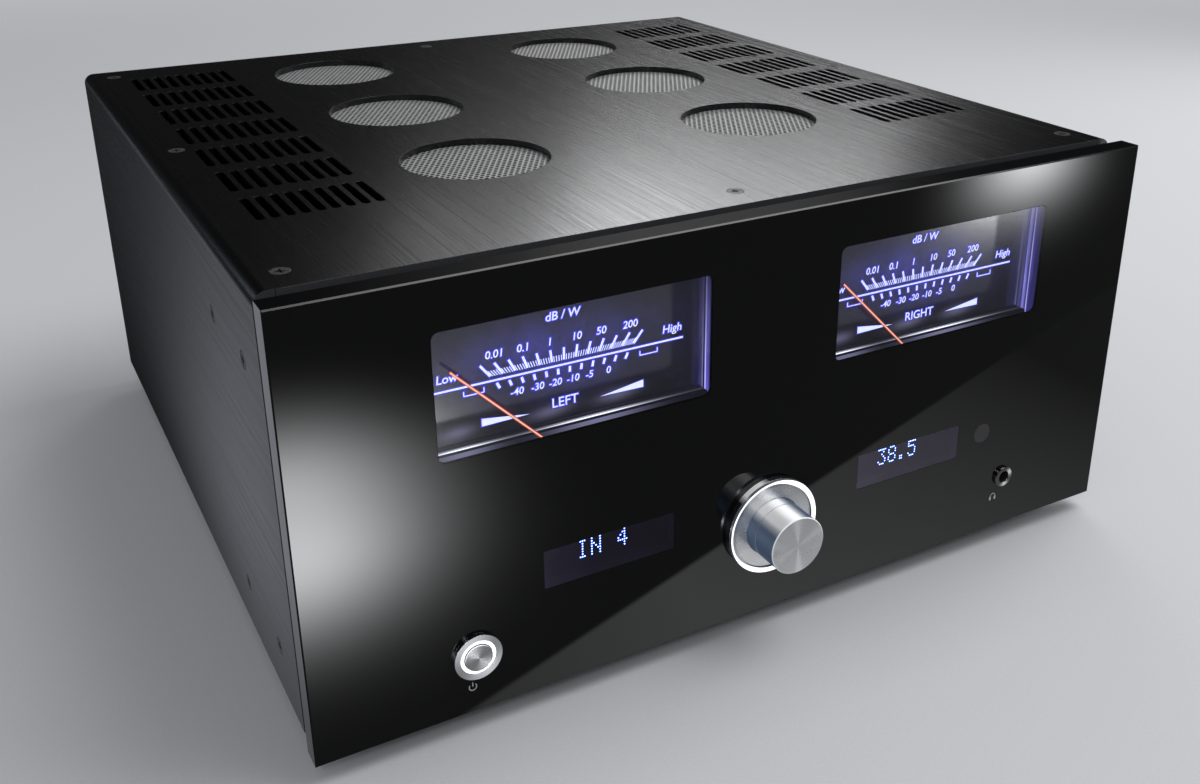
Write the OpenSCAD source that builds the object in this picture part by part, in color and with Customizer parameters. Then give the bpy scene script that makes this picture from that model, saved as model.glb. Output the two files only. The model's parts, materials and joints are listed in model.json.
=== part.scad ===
// Stereo integrated amplifier with two moving-coil power meters.
// Millimetres. +X right, +Y back, +Z up. The origin is on the floor, under the middle of the whole amplifier.

/* [Front panel] */
// Width of the acrylic front panel
panel_w = 430; // [415:1:450]
// Height of the front panel
panel_h = 196; // [192:1:210]
// Thickness of the front panel
panel_t = 11; // [8:0.5:14]
// Bevel along the front edges of the panel
panel_bevel = 0.6; // [0.3:0.1:1]
// How far the panel reaches below the case
panel_drop = 4; // [2:0.5:6]

/* [Case] */
// Depth of the case behind the shadow gap
case_d = 412; // [405:1:440]
// How far the side panels sit in from the panel's ends
case_inset = 1; // [0.5:0.5:4]
// Open groove between the front panel and the case
shadow_gap = 7; // [5:0.5:9]
// How far the front frame's boss sits in from the panel's outline
boss_inset = 9; // [7:0.5:11]
// Thickness of the aluminium side panels
side_t = 8.5; // [7:0.5:10]
// Radius along the top outer edge of a side panel
side_round = 5.5; // [3:0.5:6.5]
// Width of the rails inside the side panels
rail_w = 13; // [11:0.5:14]
// Height of the rails inside the side panels
rail_h = 12; // [11:0.5:14]
// Thickness of the aluminium top cover
cover_t = 5; // [4:0.5:6]
// Thickness of the front frame's plate
frame_t = 3; // [2:0.5:4]
// Thickness of the steel sheet of tray, rear panel and frame flanges
sheet_t = 2; // [1.5:0.5:3]

/* [Top openings] */
// Distance of the round vents from the middle line
vent_x = 78; // [74:0.5:82]
// Radius of the round vents
vent_r = 36; // [32:0.5:38]
// Distance between the rows of round vents
vent_pitch = 111; // [104:1:116]
// Distance from the case front to the middle row of round vents
vent_mid = 233.5; // [224:0.5:240]
// Margin by which a mesh disc is larger than its vent
mesh_margin = 2; // [1:0.5:3]
// Thickness of the mesh discs
mesh_t = 1; // [0.8:0.1:1.5]
// Depth by which a mesh disc is let into the cover from below
mesh_in = 1.6; // [1.2:0.1:2]
// Width of the gaps in the mesh
mesh_gap = 6; // [4:0.5:7]
// Distance between the gaps in the mesh
mesh_pitch = 8.8; // [8:0.1:9.5]
// Width of a cooling slot
slot_w = 4; // [3:0.1:4.4]
// Length of a cooling slot, with its round ends
slot_l = 33; // [28:1:36]
// Distance between the slots of a row
slot_pitch = 6.4; // [6:0.1:7]
// Distance between the rows of slots
slot_row = 45; // [42:0.5:48]
// Distance from the case front to the middle row of slots
slot_mid = 231; // [224:0.5:238]
// Distance from the side panel to the middle of the outermost slot
slot_inset = 15.5; // [15:0.1:18]

/* [Feet] */
// Height of a foot with its rubber pad
foot_h = 14; // [12:0.5:20]
// Radius of a foot
foot_r = 24; // [18:1:28]
// Thickness of the rubber pad under a foot
pad_t = 3; // [2:0.5:4]
// Distance of the feet from the sides of the case
foot_in = 64; // [54:1:84]
// Distance of the front feet from the case front
foot_front = 46; // [40:1:50]
// Distance of the rear feet from the case back
foot_rear = 40; // [36:1:42]

/* [Meters] */
// Distance of the meters from the middle line
meter_x = 94.5; // [92:0.5:100]
// Width of a meter window
meter_w = 123; // [116:0.5:126]
// Height of a meter window
meter_h = 55; // [52:0.5:58]
// Height of the middle of the windows above the panel's lower edge
meter_rise = 147.4; // [145:0.2:150]
// Corner radius of a meter window
meter_round = 3.5; // [2:0.5:5]
// Depth of the panel's rim in front of a lens's lip
lens_rim = 2; // [1.5:0.1:3]
// Width of the lip around the back of a lens
lens_lip = 7; // [6.5:0.1:8]
// Depth of a meter housing behind the panel
housing_d = 36; // [34:0.5:40]
// Margin of a housing above its window
housing_margin = 5; // [4:0.5:5.5]
// Margin of a housing on each side of its window
housing_side = 8.5; // [8:0.5:9]
// Wall of a housing
housing_wall = 2; // [1.5:0.1:2.5]
// Width of the flange that holds a housing behind the front frame
housing_lip = 5; // [4:0.5:5.5]
// Depth of the dial's face behind the panel
dial_depth = 10; // [9:0.5:12]
// Thickness of the dial
dial_t = 1.5; // [1:0.1:2]
// Distance of the ledge on the dial below the window
ledge_drop = 4.8; // [4:0.1:6]
// Distance of the needle's pivot below the window
pivot_drop = 18.5; // [17:0.5:19]
// Room below the pivot, down to the housing's lower edge
pivot_room = 20; // [19:0.5:21]
// Length of a needle from its pivot
needle_l = 71.5; // [64:0.5:72]
// Width of a needle
needle_w = 1.2; // [0.8:0.1:1.6]
// Thickness of a needle
needle_t = 0.8; // [0.6:0.1:1.2]
// Angle at which a resting needle leans left
needle_lean = 45; // [40:1:48]
// Radius of a needle's shaft
needle_shaft_r = 1; // [0.8:0.1:1.4]

/* [Displays] */
// Distance of the displays from the middle line
display_x = 82; // [78:0.5:86]
// Width of a display window
display_w = 63; // [58:0.5:66]
// Height of a display window
display_h = 18.4; // [16:0.2:20]
// Height of the displays' middle above the panel's lower edge
display_rise = 58.4; // [56:0.2:59]

/* [Volume control] */
// Height of the knob's axis above the panel's lower edge
knob_rise = 47; // [44:0.5:50]
// Radius of the knob
knob_r = 14; // [12:0.5:15]
// Length of the knob
knob_l = 21.8; // [18:0.2:26]
// Bevel around the knob's front face
knob_bevel = 0.4; // [0.3:0.1:1.2]
// Gap between the panel and the knob
knob_gap = 1.2; // [1:0.1:1.6]
// Width of the aluminium flange around the knob
flange_w = 6.5; // [4:0.5:8]
// Thickness of the flange
flange_t = 3.8; // [3:0.2:5]
// Width of the light ring that sits on the flange's edge
glow_w = 2.4; // [2:0.1:4]
// Thickness of the light ring
glow_t = 1.6; // [1.4:0.2:2]
// How far the light ring stands proud of the flange
glow_rise = 0.8; // [0.4:0.1:1]
// Radius of the encoder's shaft
shaft_r = 3; // [2.5:0.1:3.5]
// Depth of the encoder's body
encoder_d = 12; // [11:0.5:14]
// Width and height of the encoder's body
encoder_w = 18; // [15:0.5:20]

/* [Power button] */
// Distance of the button from the panel's left end
power_in = 70; // [67:0.5:73]
// Height of the button above the panel's lower edge
power_rise = 28; // [26:0.5:30]
// Radius of the button
power_r = 6; // [5:0.1:6.5]
// Width of the light ring around the button
power_glow = 1.6; // [1.2:0.1:2]
// Width of the chrome bezel
power_rim = 2.5; // [2:0.1:3]
// How far the bezel stands proud of the panel
power_proud = 2; // [1.5:0.1:2.4]
// How far the button stands proud of the panel
power_reach = 2.6; // [2.5:0.1:3]
// Radius of the button's stem
stem_r = 2.5; // [2:0.1:3]
// Travel of the button
power_travel = 1.5; // [1:0.1:2]

/* [Headphone socket and remote window] */
// Distance of the headphone socket to the right of the remote window
jack_gap = 17.5; // [16:0.5:19]
// Height of the socket above the panel's lower edge
jack_rise = 29.5; // [27:0.5:31]
// Radius of the socket's bore
jack_bore = 3.2; // [3.18:0.02:3.3]
// Radius of the socket's front ring
jack_ring = 5.4; // [5.2:0.1:6]
// Depth of the bore
jack_depth = 32; // [30:1:36]
// Width and height of the socket's body
jack_body = 13; // [12:0.5:14]
// Distance of the remote window's middle from the right display window
remote_gap = 16; // [14:0.5:18]
// Height of the remote window above the panel's lower edge
remote_rise = 58.7; // [57:0.1:60]
// Radius of the remote window
remote_r = 5.4; // [4:0.2:6]

/* [Inside] */
// Distance from the case front to the transformer's axis
toroid_y = 118; // [112:1:124]
// Outer radius of the transformer
toroid_r = 74; // [66:1:76]
// Radius of the hole in the transformer
toroid_hole = 24; // [20:1:28]
// Height of the transformer's winding
toroid_h = 72; // [60:1:85]
// Radius of a reservoir capacitor
can_r = 20; // [17:0.5:21]
// Height of a reservoir capacitor
can_h = 85; // [70:1:95]
// Distance from the case front to the middle of the power board
power_board_y = 270; // [264:1:272]
// Length of a heat sink from front to back
sink_l = 270; // [250:1:274]
// Height of a heat sink
sink_h = 150; // [140:1:165]
// Thickness of a heat sink's base
sink_base = 8; // [6:0.5:9]
// Length of the cooling fins
fin_l = 53; // [46:0.5:54]
// Thickness of a fin
fin_t = 2.4; // [2:0.1:3]
// Number of fins on a heat sink
fin_count = 15; // [11:1:17]

/* [Rear connectors] */
// Distance of the outermost speaker post from the side of the case
post_in = 44; // [38:1:48]
// Distance between the speaker posts
post_pitch = 26; // [22:0.5:28]
// Height of the posts above the tray
post_rise = 46; // [42:1:54]
// Radius of a post's cap
cap_r = 8; // [7:0.5:9]
// Length of a post's cap
cap_l = 18; // [16:0.5:22]
// Radius of a post's stud
stud_r = 3.4; // [3.2:0.1:3.8]
// Radius of the banana plug's bore in a stud
banana_r = 2.05; // [2.02:0.01:2.15]
// Depth of the banana plug's bore
banana_l = 20; // [18:1:22]
// Travel of a cap when it is unscrewed
cap_travel = 4; // [3:0.5:5]
// Distance of the mains inlet from the side of the case
inlet_in = 64; // [58:1:68]
// Distance between the mains inlet and the mains switch
rocker_pitch = 42; // [40:1:44]
// Height of the inlet and the mains switch above the tray
mains_rise = 46; // [42:1:54]
// Distance between the line sockets of a row
line_pitch = 18; // [16:0.5:19]
// Distance between the two rows of line sockets
line_row = 20; // [18:0.5:22]
// Height of the lower row of line sockets above the tray
line_rise = 122; // [120:1:126]
// Height of the optical sockets above the tray
optical_rise = 96; // [94:1:98]

/* [Hidden] */
$fn = 64;
// Clearances: seated case pieces, round running fits, bonded lenses, screw holes and moving parts
seat = 0.2;
run = 0.05;
bond = 0.15;
screw_play = 0.1;
move_play = 0.3;
// A cut that passes through a face reaches this far beyond it
over = 1;

// Screws of the case: countersunk, with a cross recess
screw_r = 1.95;
screw_l = cover_t + rail_h - 2.5;
sunk_r = 3.9;
sunk_h = 2.1;
cross_w = 0.9;
cross_l = 4;
cross_d = 1.2;
// Screws of the chassis: pan heads
pan_r = 3.6;
pan_h = 2.4;
pan_l = 9;

// Lengths along the depth, from the knob's face to the ends of the speaker posts
post_base_t = 5;
post_ring_t = 2;
post_ring_in = 0.5;
post_play = 0.1;
stud_end = 1;
post_reach = post_base_t + post_ring_t + cap_l + 2 * post_play + stud_end;
knob_reach = knob_gap + knob_l;
total_d = knob_reach + panel_t + shadow_gap + case_d + post_reach;
face_y = knob_reach - total_d / 2;
panel_back = face_y + panel_t;
case_front = panel_back + shadow_gap;
frame_back = case_front + frame_t;
case_back = case_front + case_d;
rear_in = case_back - sheet_t;

// Heights
case_z = foot_h;
panel_z = case_z - panel_drop;
tray_top = case_z + sheet_t;
case_top = panel_z + panel_h;
cover_z = case_top - cover_t;

// Widths
panel_half = panel_w / 2;
case_half = panel_half - case_inset;
inner_half = case_half - side_t;
rail_x = inner_half - rail_w / 2;
rail_in = inner_half - rail_w;
foot_x = case_half - foot_in;

// Top screws: three along the front, three along the back, one in the middle of each side
top_screw_in = 17;
top_screw_front = case_front + top_screw_in;
top_screw_back = case_back - top_screw_in;
vents_y = case_front + vent_mid;
slots_y = case_front + slot_mid;
slot_rows = 7;
slot_count = 9;
slot_x = inner_half - slot_inset;

// Side screws
side_screw_in = 28.5;
side_screw_pitch = 52;
side_screw_low = 28;
side_screw_rise = 131;
side_screw_y = [case_front + side_screw_in, case_front + side_screw_in + side_screw_pitch];
side_screw_z = [panel_z + side_screw_low, panel_z + side_screw_low + side_screw_rise];
flange_l = 92;

// Screws under the tray
tray_screw_front = 45;
tray_screw_rear = 60;

// Meter
meter_z = panel_z + meter_rise;
pivot_z = meter_z - meter_h / 2 - pivot_drop;
housing_half = meter_w / 2 + housing_side;
housing_top = meter_z + meter_h / 2 + housing_margin;
housing_low = pivot_z - pivot_room;
dial_y = panel_back + dial_depth;
movement_y = dial_y + dial_t;
housing_floor = panel_back + housing_d - housing_wall;
needle_y = panel_back + dial_depth / 2;
needle_play = 1;
ledge_y = needle_y + needle_t / 2 + needle_play;
ledge_z = meter_z - meter_h / 2 - ledge_drop;
ledge_t = 2;
hub_r = 4;
hub_t = 3;
shaft_l = 14;
tail_l = 10;
tail_w = 3.6;

// Displays
display_z = panel_z + display_rise;
display_round = 1;
display_frame = 2;
display_board = 4;
board_t = 1.6;

// Volume control
knob_z = panel_z + knob_rise;
groove_in = 13;
groove_w = 0.6;
groove_d = 0.4;
flange_in = knob_r + move_play;
flange_out = flange_in + flange_w;
glow_in = flange_out + bond;
glow_out = glow_in + glow_w;
glow_y = face_y - flange_t - glow_rise;
bush_r = shaft_r + 1.5;
bush_front = face_y + 4;
cavity_r = shaft_r + 2;
cavity_d = 6;
cavity_y = frame_back + encoder_d - cavity_d;
shaft_in_knob = 14;
shaft_end = cavity_y + 1.5;
plunger_t = 2;
board_y = frame_back + encoder_d;

// Power button
power_x = panel_half - power_in;
power_z = panel_z + power_rise;
glow_bore = power_r + move_play;
bezel_in = glow_bore + power_glow + bond;
sleeve_r = bezel_in + 1;
bezel_out = bezel_in + power_rim;
button_back = face_y + panel_t - 3;
switch_w = 12;
switch_d = 9;
switch_y = board_y - switch_d;
stem_in = 2.5;

// Headphone socket and remote window
jack_z = panel_z + jack_rise;
jack_sleeve = jack_bore + 1.3;
jack_proud = 1.5;
jack_back = face_y - jack_proud + jack_depth + 2;
remote_x = display_x + display_w / 2 + remote_gap;
jack_x = remote_x + jack_gap;
remote_z = panel_z + remote_rise;

// Control board behind the front frame
control_rise = 12;
control_h = 62;
control_margin = 15;
control_left = power_x + control_margin;
control_right = jack_x - jack_body / 2 - 2;
control_low = panel_z + control_rise;
control_high = control_low + control_h;
boss_r = 4;
boss_x = [-118, -40, 40, 118];
boss_z = control_low + boss_r + 3;

// Transformer
toroid_pad = 3;
dish_t = 4;
bolt_r = 4;
bolt_head_r = 7;
bolt_head_h = 5;
toroid_round = 9;
winding_z = tray_top + toroid_pad;
dish_z = winding_z + toroid_h + toroid_pad;
bolt_z = dish_z + dish_t + screw_play;

// Power board and its capacitors
pillar_h = 8;
pillar_r = 4;
pillar_in = 6;
power_board_w = 140;
power_board_l = 112;
can_gap = 4;
can_pitch_x = 2 * can_r + can_gap;
can_pitch_y = 2 * can_r + 2 * can_gap;
power_pcb_z = tray_top + pillar_h;

// Heat sinks
sink_out = rail_in - 1.5;
sink_in = sink_out - fin_l - sink_base;
sink_ahead = 18;
sink_rear_gap = 6;
sink_top = tray_top + sink_h;
transistor_t = 5;
transistor_w = 16;
transistor_h = 21;
transistor_z = tray_top + sink_h / 2;
amp_gap = 12;
amp_x = sink_in - amp_gap - board_t;
amp_low_in = 25;
amp_top_in = 20;
amp_low = tray_top + amp_low_in;
amp_high = sink_top - amp_top_in;
amp_margin = 15;
amp_post_in = 8;
amp_post_r = 3;

// Rear
socket_d = 14;
input_y = rear_in - socket_d - board_t;
input_left = -98;
input_right = 62;
input_margin = 12;
line_x = -80;
line_count = 8;
line_shell_r = 4.15;
line_shell_l = 9;
line_base_r = 6;
line_pin_r = 1.6;
optical_x = -80;
optical_pitch = 20;
optical_w = 10;
optical_hole = 6.4;
optical_hole_d = 9;
inlet_w = 27;
inlet_h = 20;
inlet_d = 24;
inlet_rim = 4;
inlet_rim_t = 2.5;
inlet_cavity_w = 24;
inlet_cavity_h = 16.5;
inlet_cavity_d = 17;
inlet_pin_l = 11;
inlet_x = case_half - inlet_in;
// The heat sinks stand under the slots and end clear of the mains inlet
sink_y = min(slots_y - sink_ahead, case_back - inlet_d - sink_rear_gap - sink_l / 2) - sink_l / 2;
rocker_x = inlet_x - rocker_pitch;
mains_z = tray_top + mains_rise;
rocker_w = 20;
rocker_h = 26;
rocker_d = 18;
rocker_rim = 3;
rocker_rim_t = 2.5;
rocker_wall = 2;
rocker_pin_r = 1.6;
rocker_pin_l = 1;
rocker_r = 9.6;
rocker_tilt = 9;
rocker_sink = 3;
rocker_y = case_back + rocker_rim_t - rocker_sink;
post_count = 4;
post_x = case_half - post_in - (post_count - 1) * post_pitch;
post_z = tray_top + post_rise;
post_base_r = cap_r + 1;
post_neck_r = 5.5;
post_nut_r = 6.5;
post_nut_t = 5;
post_tail = 8;
post_ring_y = case_back + post_base_t + post_play;
post_cap_y = post_ring_y + post_ring_t + post_play;
flute_count = 14;
flute_r = 1.2;

// A box from its lowest corner to its highest
module block(low, high) {
    translate(low)
        cube(high - low);
}

// A round bar or hole along the depth
module along_y(x, y0, y1, z, r) {
    translate([x, y0, z])
        rotate([-90, 0, 0])
            cylinder(r = r, h = y1 - y0);
}

// A tube along the depth
module tube_y(x, y0, y1, z, outer, inner) {
    difference() {
        along_y(x, y0, y1, z, outer);
        along_y(x, y0 - over, y1 + over, z, inner);
    }
}

// A flat rectangle with round corners, about its middle
module round_rect(w, h, r) {
    square([w - 2 * r, h], center = true);
    square([w, h - 2 * r], center = true);
    for (sx = [-1, 1], sz = [-1, 1])
        translate([sx * (w / 2 - r), sz * (h / 2 - r)])
            circle(r = r);
}

// A slab with round corners that stands across the depth
module round_block(x, y0, y1, z, w, h, r) {
    translate([x, y1, z])
        rotate([90, 0, 0])
            linear_extrude(y1 - y0)
                round_rect(w, h, r);
}

// A countersunk screw, its head flush with z = 0 and its shank downwards
module sunk_screw() {
    difference() {
        union() {
            translate([0, 0, -sunk_h])
                cylinder(r1 = screw_r, r2 = sunk_r, h = sunk_h);
            translate([0, 0, -screw_l])
                cylinder(r = screw_r, h = screw_l - sunk_h);
        }
        for (a = [0, 90])
            rotate(a)
                translate([-cross_l / 2, -cross_w / 2, -cross_d])
                    cube([cross_l, cross_w, cross_d + over]);
    }
}

// The hole that a countersunk screw takes
module sunk_hole(depth) {
    translate([0, 0, -sunk_h - screw_play])
        cylinder(r1 = screw_r + screw_play, r2 = sunk_r + 2 * screw_play, h = sunk_h + 2 * screw_play);
    translate([0, 0, -depth])
        cylinder(r = screw_r + screw_play, h = depth);
}

// A pan head screw, its head above z = 0 and its shank downwards
module pan_screw() {
    difference() {
        union() {
            cylinder(r = pan_r, h = pan_h);
            translate([0, 0, -pan_l])
                cylinder(r = screw_r, h = pan_l);
        }
        for (a = [0, 90])
            rotate(a)
                translate([-cross_l / 2, -cross_w / 2, pan_h - cross_d])
                    cube([cross_l, cross_w, cross_d + over]);
    }
}

// The hole that a pan head screw takes, a little deeper than the shank
module pan_hole() {
    translate([0, 0, -pan_l - over])
        cylinder(r = screw_r + screw_play, h = pan_l + 2 * over);
}

// Places of the screws
module at_side_rail_tops() {
    for (s = [-1, 1], y = [top_screw_front, (top_screw_front + top_screw_back) / 2, top_screw_back])
        translate([s * rail_x, y, case_top])
            children();
}

module at_cover_middle() {
    for (y = [top_screw_front, top_screw_back])
        translate([0, y, case_top])
            children();
}

module at_side_face(s) {
    for (y = side_screw_y, z = side_screw_z)
        translate([s * case_half, y, z])
            rotate([0, s * 90, 0])
                children();
}

module at_rear_corners() {
    for (s = [-1, 1], z = [tray_top + rail_h / 2, cover_z - rail_h / 2])
        translate([s * rail_x, case_back, z])
            rotate([-90, 0, 0])
                children();
}

module at_tray_edges() {
    for (s = [-1, 1], y = [case_front + tray_screw_front, slots_y, case_back - tray_screw_rear])
        translate([s * rail_x, y, case_z])
            rotate([180, 0, 0])
                children();
}

module at_feet() {
    for (s = [-1, 1], y = [case_front + foot_front, case_back - foot_rear])
        translate([s * foot_x, y, 0])
            children();
}

// Case
module panel_slab() {
    b = panel_bevel;
    intersection() {
        translate([0, 0, panel_z])
            linear_extrude(panel_h)
                polygon([[-panel_half, panel_back], [-panel_half, face_y + b], [b - panel_half, face_y],
                    [panel_half - b, face_y], [panel_half, face_y + b], [panel_half, panel_back]]);
        translate([-panel_half, 0, 0])
            rotate([90, 0, 90])
                linear_extrude(panel_w)
                    polygon([[panel_back, panel_z], [face_y + b, panel_z], [face_y, panel_z + b],
                        [face_y, case_top - b], [face_y + b, case_top], [panel_back, case_top]]);
    }
}

module front_panel() {
    color("#141414")
        difference() {
            panel_slab();
            for (s = [-1, 1]) {
                round_block(s * meter_x, face_y - over, panel_back + over, meter_z,
                    meter_w, meter_h, meter_round);
                round_block(s * meter_x, face_y + lens_rim, panel_back + over, meter_z,
                    meter_w + 2 * lens_lip, meter_h + 2 * lens_lip, meter_round);
                round_block(s * display_x, face_y - over, panel_back + over, display_z,
                    display_w, display_h, display_round);
            }
            along_y(0, face_y - over, panel_back + over, knob_z, bush_r + seat);
            along_y(-power_x, face_y - over, panel_back + over, power_z, sleeve_r + screw_play);
            along_y(jack_x, face_y - over, panel_back + over, jack_z, jack_sleeve + screw_play);
            along_y(remote_x, face_y - over, panel_back + over, remote_z, remote_r);
        }
}

// The frame behind the panel: a boss in the shadow gap, a plate, and flanges along the side panels
module front_frame() {
    plate_half = inner_half - seat;
    flange_low = tray_top + rail_h + 2;
    flange_high = cover_z - rail_h - 2;
    lip_half = 14;
    lip_l = 24;
    color("#1b1b1c")
        difference() {
            union() {
                block([boss_inset - panel_half, panel_back, panel_z + boss_inset],
                    [panel_half - boss_inset, case_front, case_top - boss_inset]);
                block([-plate_half, case_front, tray_top], [plate_half, frame_back, cover_z]);
                for (s = [-1, 1])
                    translate([s * (plate_half - sheet_t / 2), frame_back + flange_l / 2,
                        (flange_low + flange_high) / 2])
                        cube([sheet_t, flange_l, flange_high - flange_low], center = true);
                block([-lip_half, frame_back, cover_z - sheet_t], [lip_half, frame_back + lip_l, cover_z]);
                for (x = boss_x)
                    along_y(x, frame_back, board_y, boss_z, boss_r);
            }
            for (s = [-1, 1]) {
                block([s * meter_x - housing_half - seat, panel_back - over, housing_low - seat],
                    [s * meter_x + housing_half + seat, frame_back + over, housing_top + seat]);
                translate([s * display_x, (panel_back + frame_back) / 2, display_z])
                    cube([display_w + 2 * display_frame + 2 * seat, frame_back - panel_back + 2 * over,
                        display_h + 2 * display_frame + 2 * seat], center = true);
                at_side_face(s)
                    sunk_hole(screw_l + over);
            }
            at_cover_middle()
                sunk_hole(screw_l + over);
            along_y(0, panel_back - over, frame_back + over, knob_z, bush_r + seat);
            along_y(-power_x, panel_back - over, frame_back + over, power_z, sleeve_r + screw_play);
            along_y(jack_x, panel_back - over, frame_back + over, jack_z, jack_sleeve + screw_play);
            along_y(remote_x, panel_back - over, frame_back + over, remote_z, remote_r - 1);
        }
}

module slot_2d() {
    square([slot_w, slot_l - slot_w], center = true);
    for (s = [-1, 1])
        translate([0, s * (slot_l - slot_w) / 2])
            circle(d = slot_w);
}

module at_vents() {
    for (s = [-1, 1], row = [-1:1])
        translate([s * vent_x, vents_y + row * vent_pitch, cover_z])
            children();
}

module top_cover() {
    color("#202021")
        difference() {
            block([seat - inner_half, case_front, cover_z], [inner_half - seat, case_back, case_top]);
            at_vents()
                translate([0, 0, -over]) {
                    cylinder(r = vent_r, h = cover_t + 2 * over);
                    cylinder(r = vent_r + mesh_margin + seat, h = mesh_in + bond + over);
                }
            translate([0, 0, cover_z - over])
                linear_extrude(cover_t + 2 * over)
                    for (s = [-1, 1], row = [0:slot_rows - 1], i = [0:slot_count - 1])
                        translate([s * (slot_x - i * slot_pitch),
                            slots_y + (row - (slot_rows - 1) / 2) * slot_row])
                            slot_2d();
            at_side_rail_tops()
                sunk_hole(screw_l + over);
            at_cover_middle()
                sunk_hole(screw_l + over);
        }
}

// Six discs of mesh under the round vents
module vent_meshes() {
    r = vent_r + mesh_margin;
    reach = vent_r - mesh_gap;
    n = floor(vent_r / mesh_pitch);
    color("#8a8a88")
        at_vents()
            translate([0, 0, mesh_in - mesh_t])
                linear_extrude(mesh_t)
                    difference() {
                        circle(r = r);
                        for (i = [-n:n], j = [-n:n])
                            if (norm([i, j]) * mesh_pitch < reach)
                                translate([i, j] * mesh_pitch)
                                    square(mesh_gap, center = true);
                    }
}

// A side panel on the right, with its rails between the front frame and the rear panel
module side_panel() {
    difference() {
        union() {
            translate([0, case_back, 0])
                rotate([90, 0, 0])
                    linear_extrude(case_d) {
                        translate([inner_half, case_z])
                            square([side_t, case_top - case_z - side_round]);
                        translate([inner_half, case_z])
                            square([side_t - side_round, case_top - case_z]);
                        translate([case_half - side_round, case_top - side_round])
                            intersection() {
                                circle(r = side_round);
                                square(side_round);
                            }
                    }
            for (z = [tray_top, cover_z - rail_h])
                block([rail_in, frame_back + seat, z], [inner_half + over, rear_in, z + rail_h]);
        }
        at_side_face(1)
            sunk_hole(side_t + over);
        at_side_rail_tops()
            sunk_hole(screw_l + over);
        at_rear_corners()
            pan_hole();
        at_tray_edges()
            pan_hole();
    }
}

module right_side_panel() {
    color("#1d1d1e")
        side_panel();
}

module left_side_panel() {
    color("#1d1d1e")
        mirror([1, 0, 0])
            side_panel();
}

// The steel floor of the case, with cooling slots under the heat sinks and pillars for the power board
module base_tray() {
    half = inner_half - seat;
    vent_in = 7;
    vent_l = fin_l - 2 * vent_in;
    vent_w = 4;
    vent_step = sink_l / 12;
    color("#2a2a2b")
        difference() {
            union() {
                block([-half, case_front, case_z], [half, case_back, tray_top]);
                at_power_board()
                    cylinder(r = pillar_r, h = pillar_h);
            }
            for (s = [-1, 1], i = [1:11])
                translate([s * (sink_out - fin_l / 2), sink_y + i * vent_step, case_z])
                    cube([vent_l, vent_w, 3 * sheet_t], center = true);
            at_tray_edges()
                pan_hole();
            at_feet()
                translate([0, 0, tray_top])
                    pan_hole();
            translate([0, case_front + toroid_y, case_z - over])
                cylinder(r = bolt_r + screw_play, h = sheet_t + 2 * over);
        }
}

module at_power_board() {
    for (sx = [-1, 1], sy = [-1, 1])
        translate([sx * (power_board_w / 2 - pillar_in),
            case_front + power_board_y + sy * (power_board_l / 2 - pillar_in), tray_top])
            children();
}

// Places of the rear connectors, in the plane of the rear panel
module at_posts() {
    for (i = [0:post_count - 1])
        translate([post_x + i * post_pitch, 0, post_z])
            children();
}

module at_line_sockets() {
    for (i = [0:line_count - 1], row = [0, 1])
        translate([line_x + i * line_pitch, 0, tray_top + line_rise + row * line_row])
            children();
}

module at_optical_sockets() {
    for (i = [0:3])
        translate([optical_x + i * optical_pitch, 0, tray_top + optical_rise])
            children();
}

module rear_panel() {
    half = inner_half - seat;
    lip_half = 14;
    lip_l = 26;
    color("#242425")
        difference() {
            union() {
                block([-half, rear_in, tray_top], [half, case_back, cover_z]);
                block([-lip_half, case_back - lip_l, cover_z - sheet_t], [lip_half, rear_in, cover_z]);
            }
            at_rear_corners()
                pan_hole();
            at_cover_middle()
                sunk_hole(screw_l + over);
            at_posts()
                along_y(0, rear_in - over, case_back + over, 0, post_neck_r + seat);
            at_line_sockets()
                along_y(0, rear_in - over, case_back + over, 0, line_base_r + screw_play);
            at_optical_sockets()
                translate([0, case_back, 0])
                    cube([optical_w + 2 * seat, 3 * sheet_t, optical_w + 2 * seat], center = true);
            translate([-inlet_x, case_back, mains_z])
                cube([inlet_w + 2 * seat, 3 * sheet_t, inlet_h + 2 * seat], center = true);
            translate([-rocker_x, case_back, mains_z])
                cube([rocker_w + 2 * seat, 3 * sheet_t, rocker_h + 2 * seat], center = true);
        }
}

module feet() {
    color("#1a1a1a")
        at_feet()
            difference() {
                translate([0, 0, pad_t])
                    cylinder(r = foot_r, h = foot_h - pad_t);
                translate([0, 0, tray_top])
                    pan_hole();
            }
}

module foot_pads() {
    color("#101010")
        at_feet()
            cylinder(r = foot_r - 3, h = pad_t);
}

module case_screws() {
    color("#303032") {
        at_side_rail_tops()
            sunk_screw();
        at_cover_middle()
            sunk_screw();
        for (s = [-1, 1])
            at_side_face(s)
                sunk_screw();
    }
}

module chassis_screws() {
    color("#38383a") {
        at_rear_corners()
            pan_screw();
        at_tray_edges()
            pan_screw();
        at_feet()
            translate([0, 0, tray_top])
                pan_screw();
    }
}

// Meters, each about its own middle line
module meter_lens(s) {
    w = meter_w - 2 * bond;
    h = meter_h - 2 * bond;
    round_block(s * meter_x, face_y, panel_back, meter_z, w, h, meter_round - bond);
    round_block(s * meter_x, face_y + lens_rim + bond, panel_back, meter_z,
        w + 2 * lens_lip, h + 2 * lens_lip, meter_round - bond);
}

module meter_housing(s) {
    x = s * meter_x;
    w = housing_wall;
    difference() {
        union() {
            block([x - housing_half, panel_back, housing_low],
                [x + housing_half, panel_back + housing_d, housing_top]);
            block([x - housing_half - housing_lip, frame_back, housing_low - housing_lip],
                [x + housing_half + housing_lip, frame_back + sheet_t, housing_top + housing_lip]);
        }
        block([x - housing_half + w, panel_back - over, housing_low + w],
            [x + housing_half - w, housing_floor, housing_top - w]);
    }
}

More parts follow.
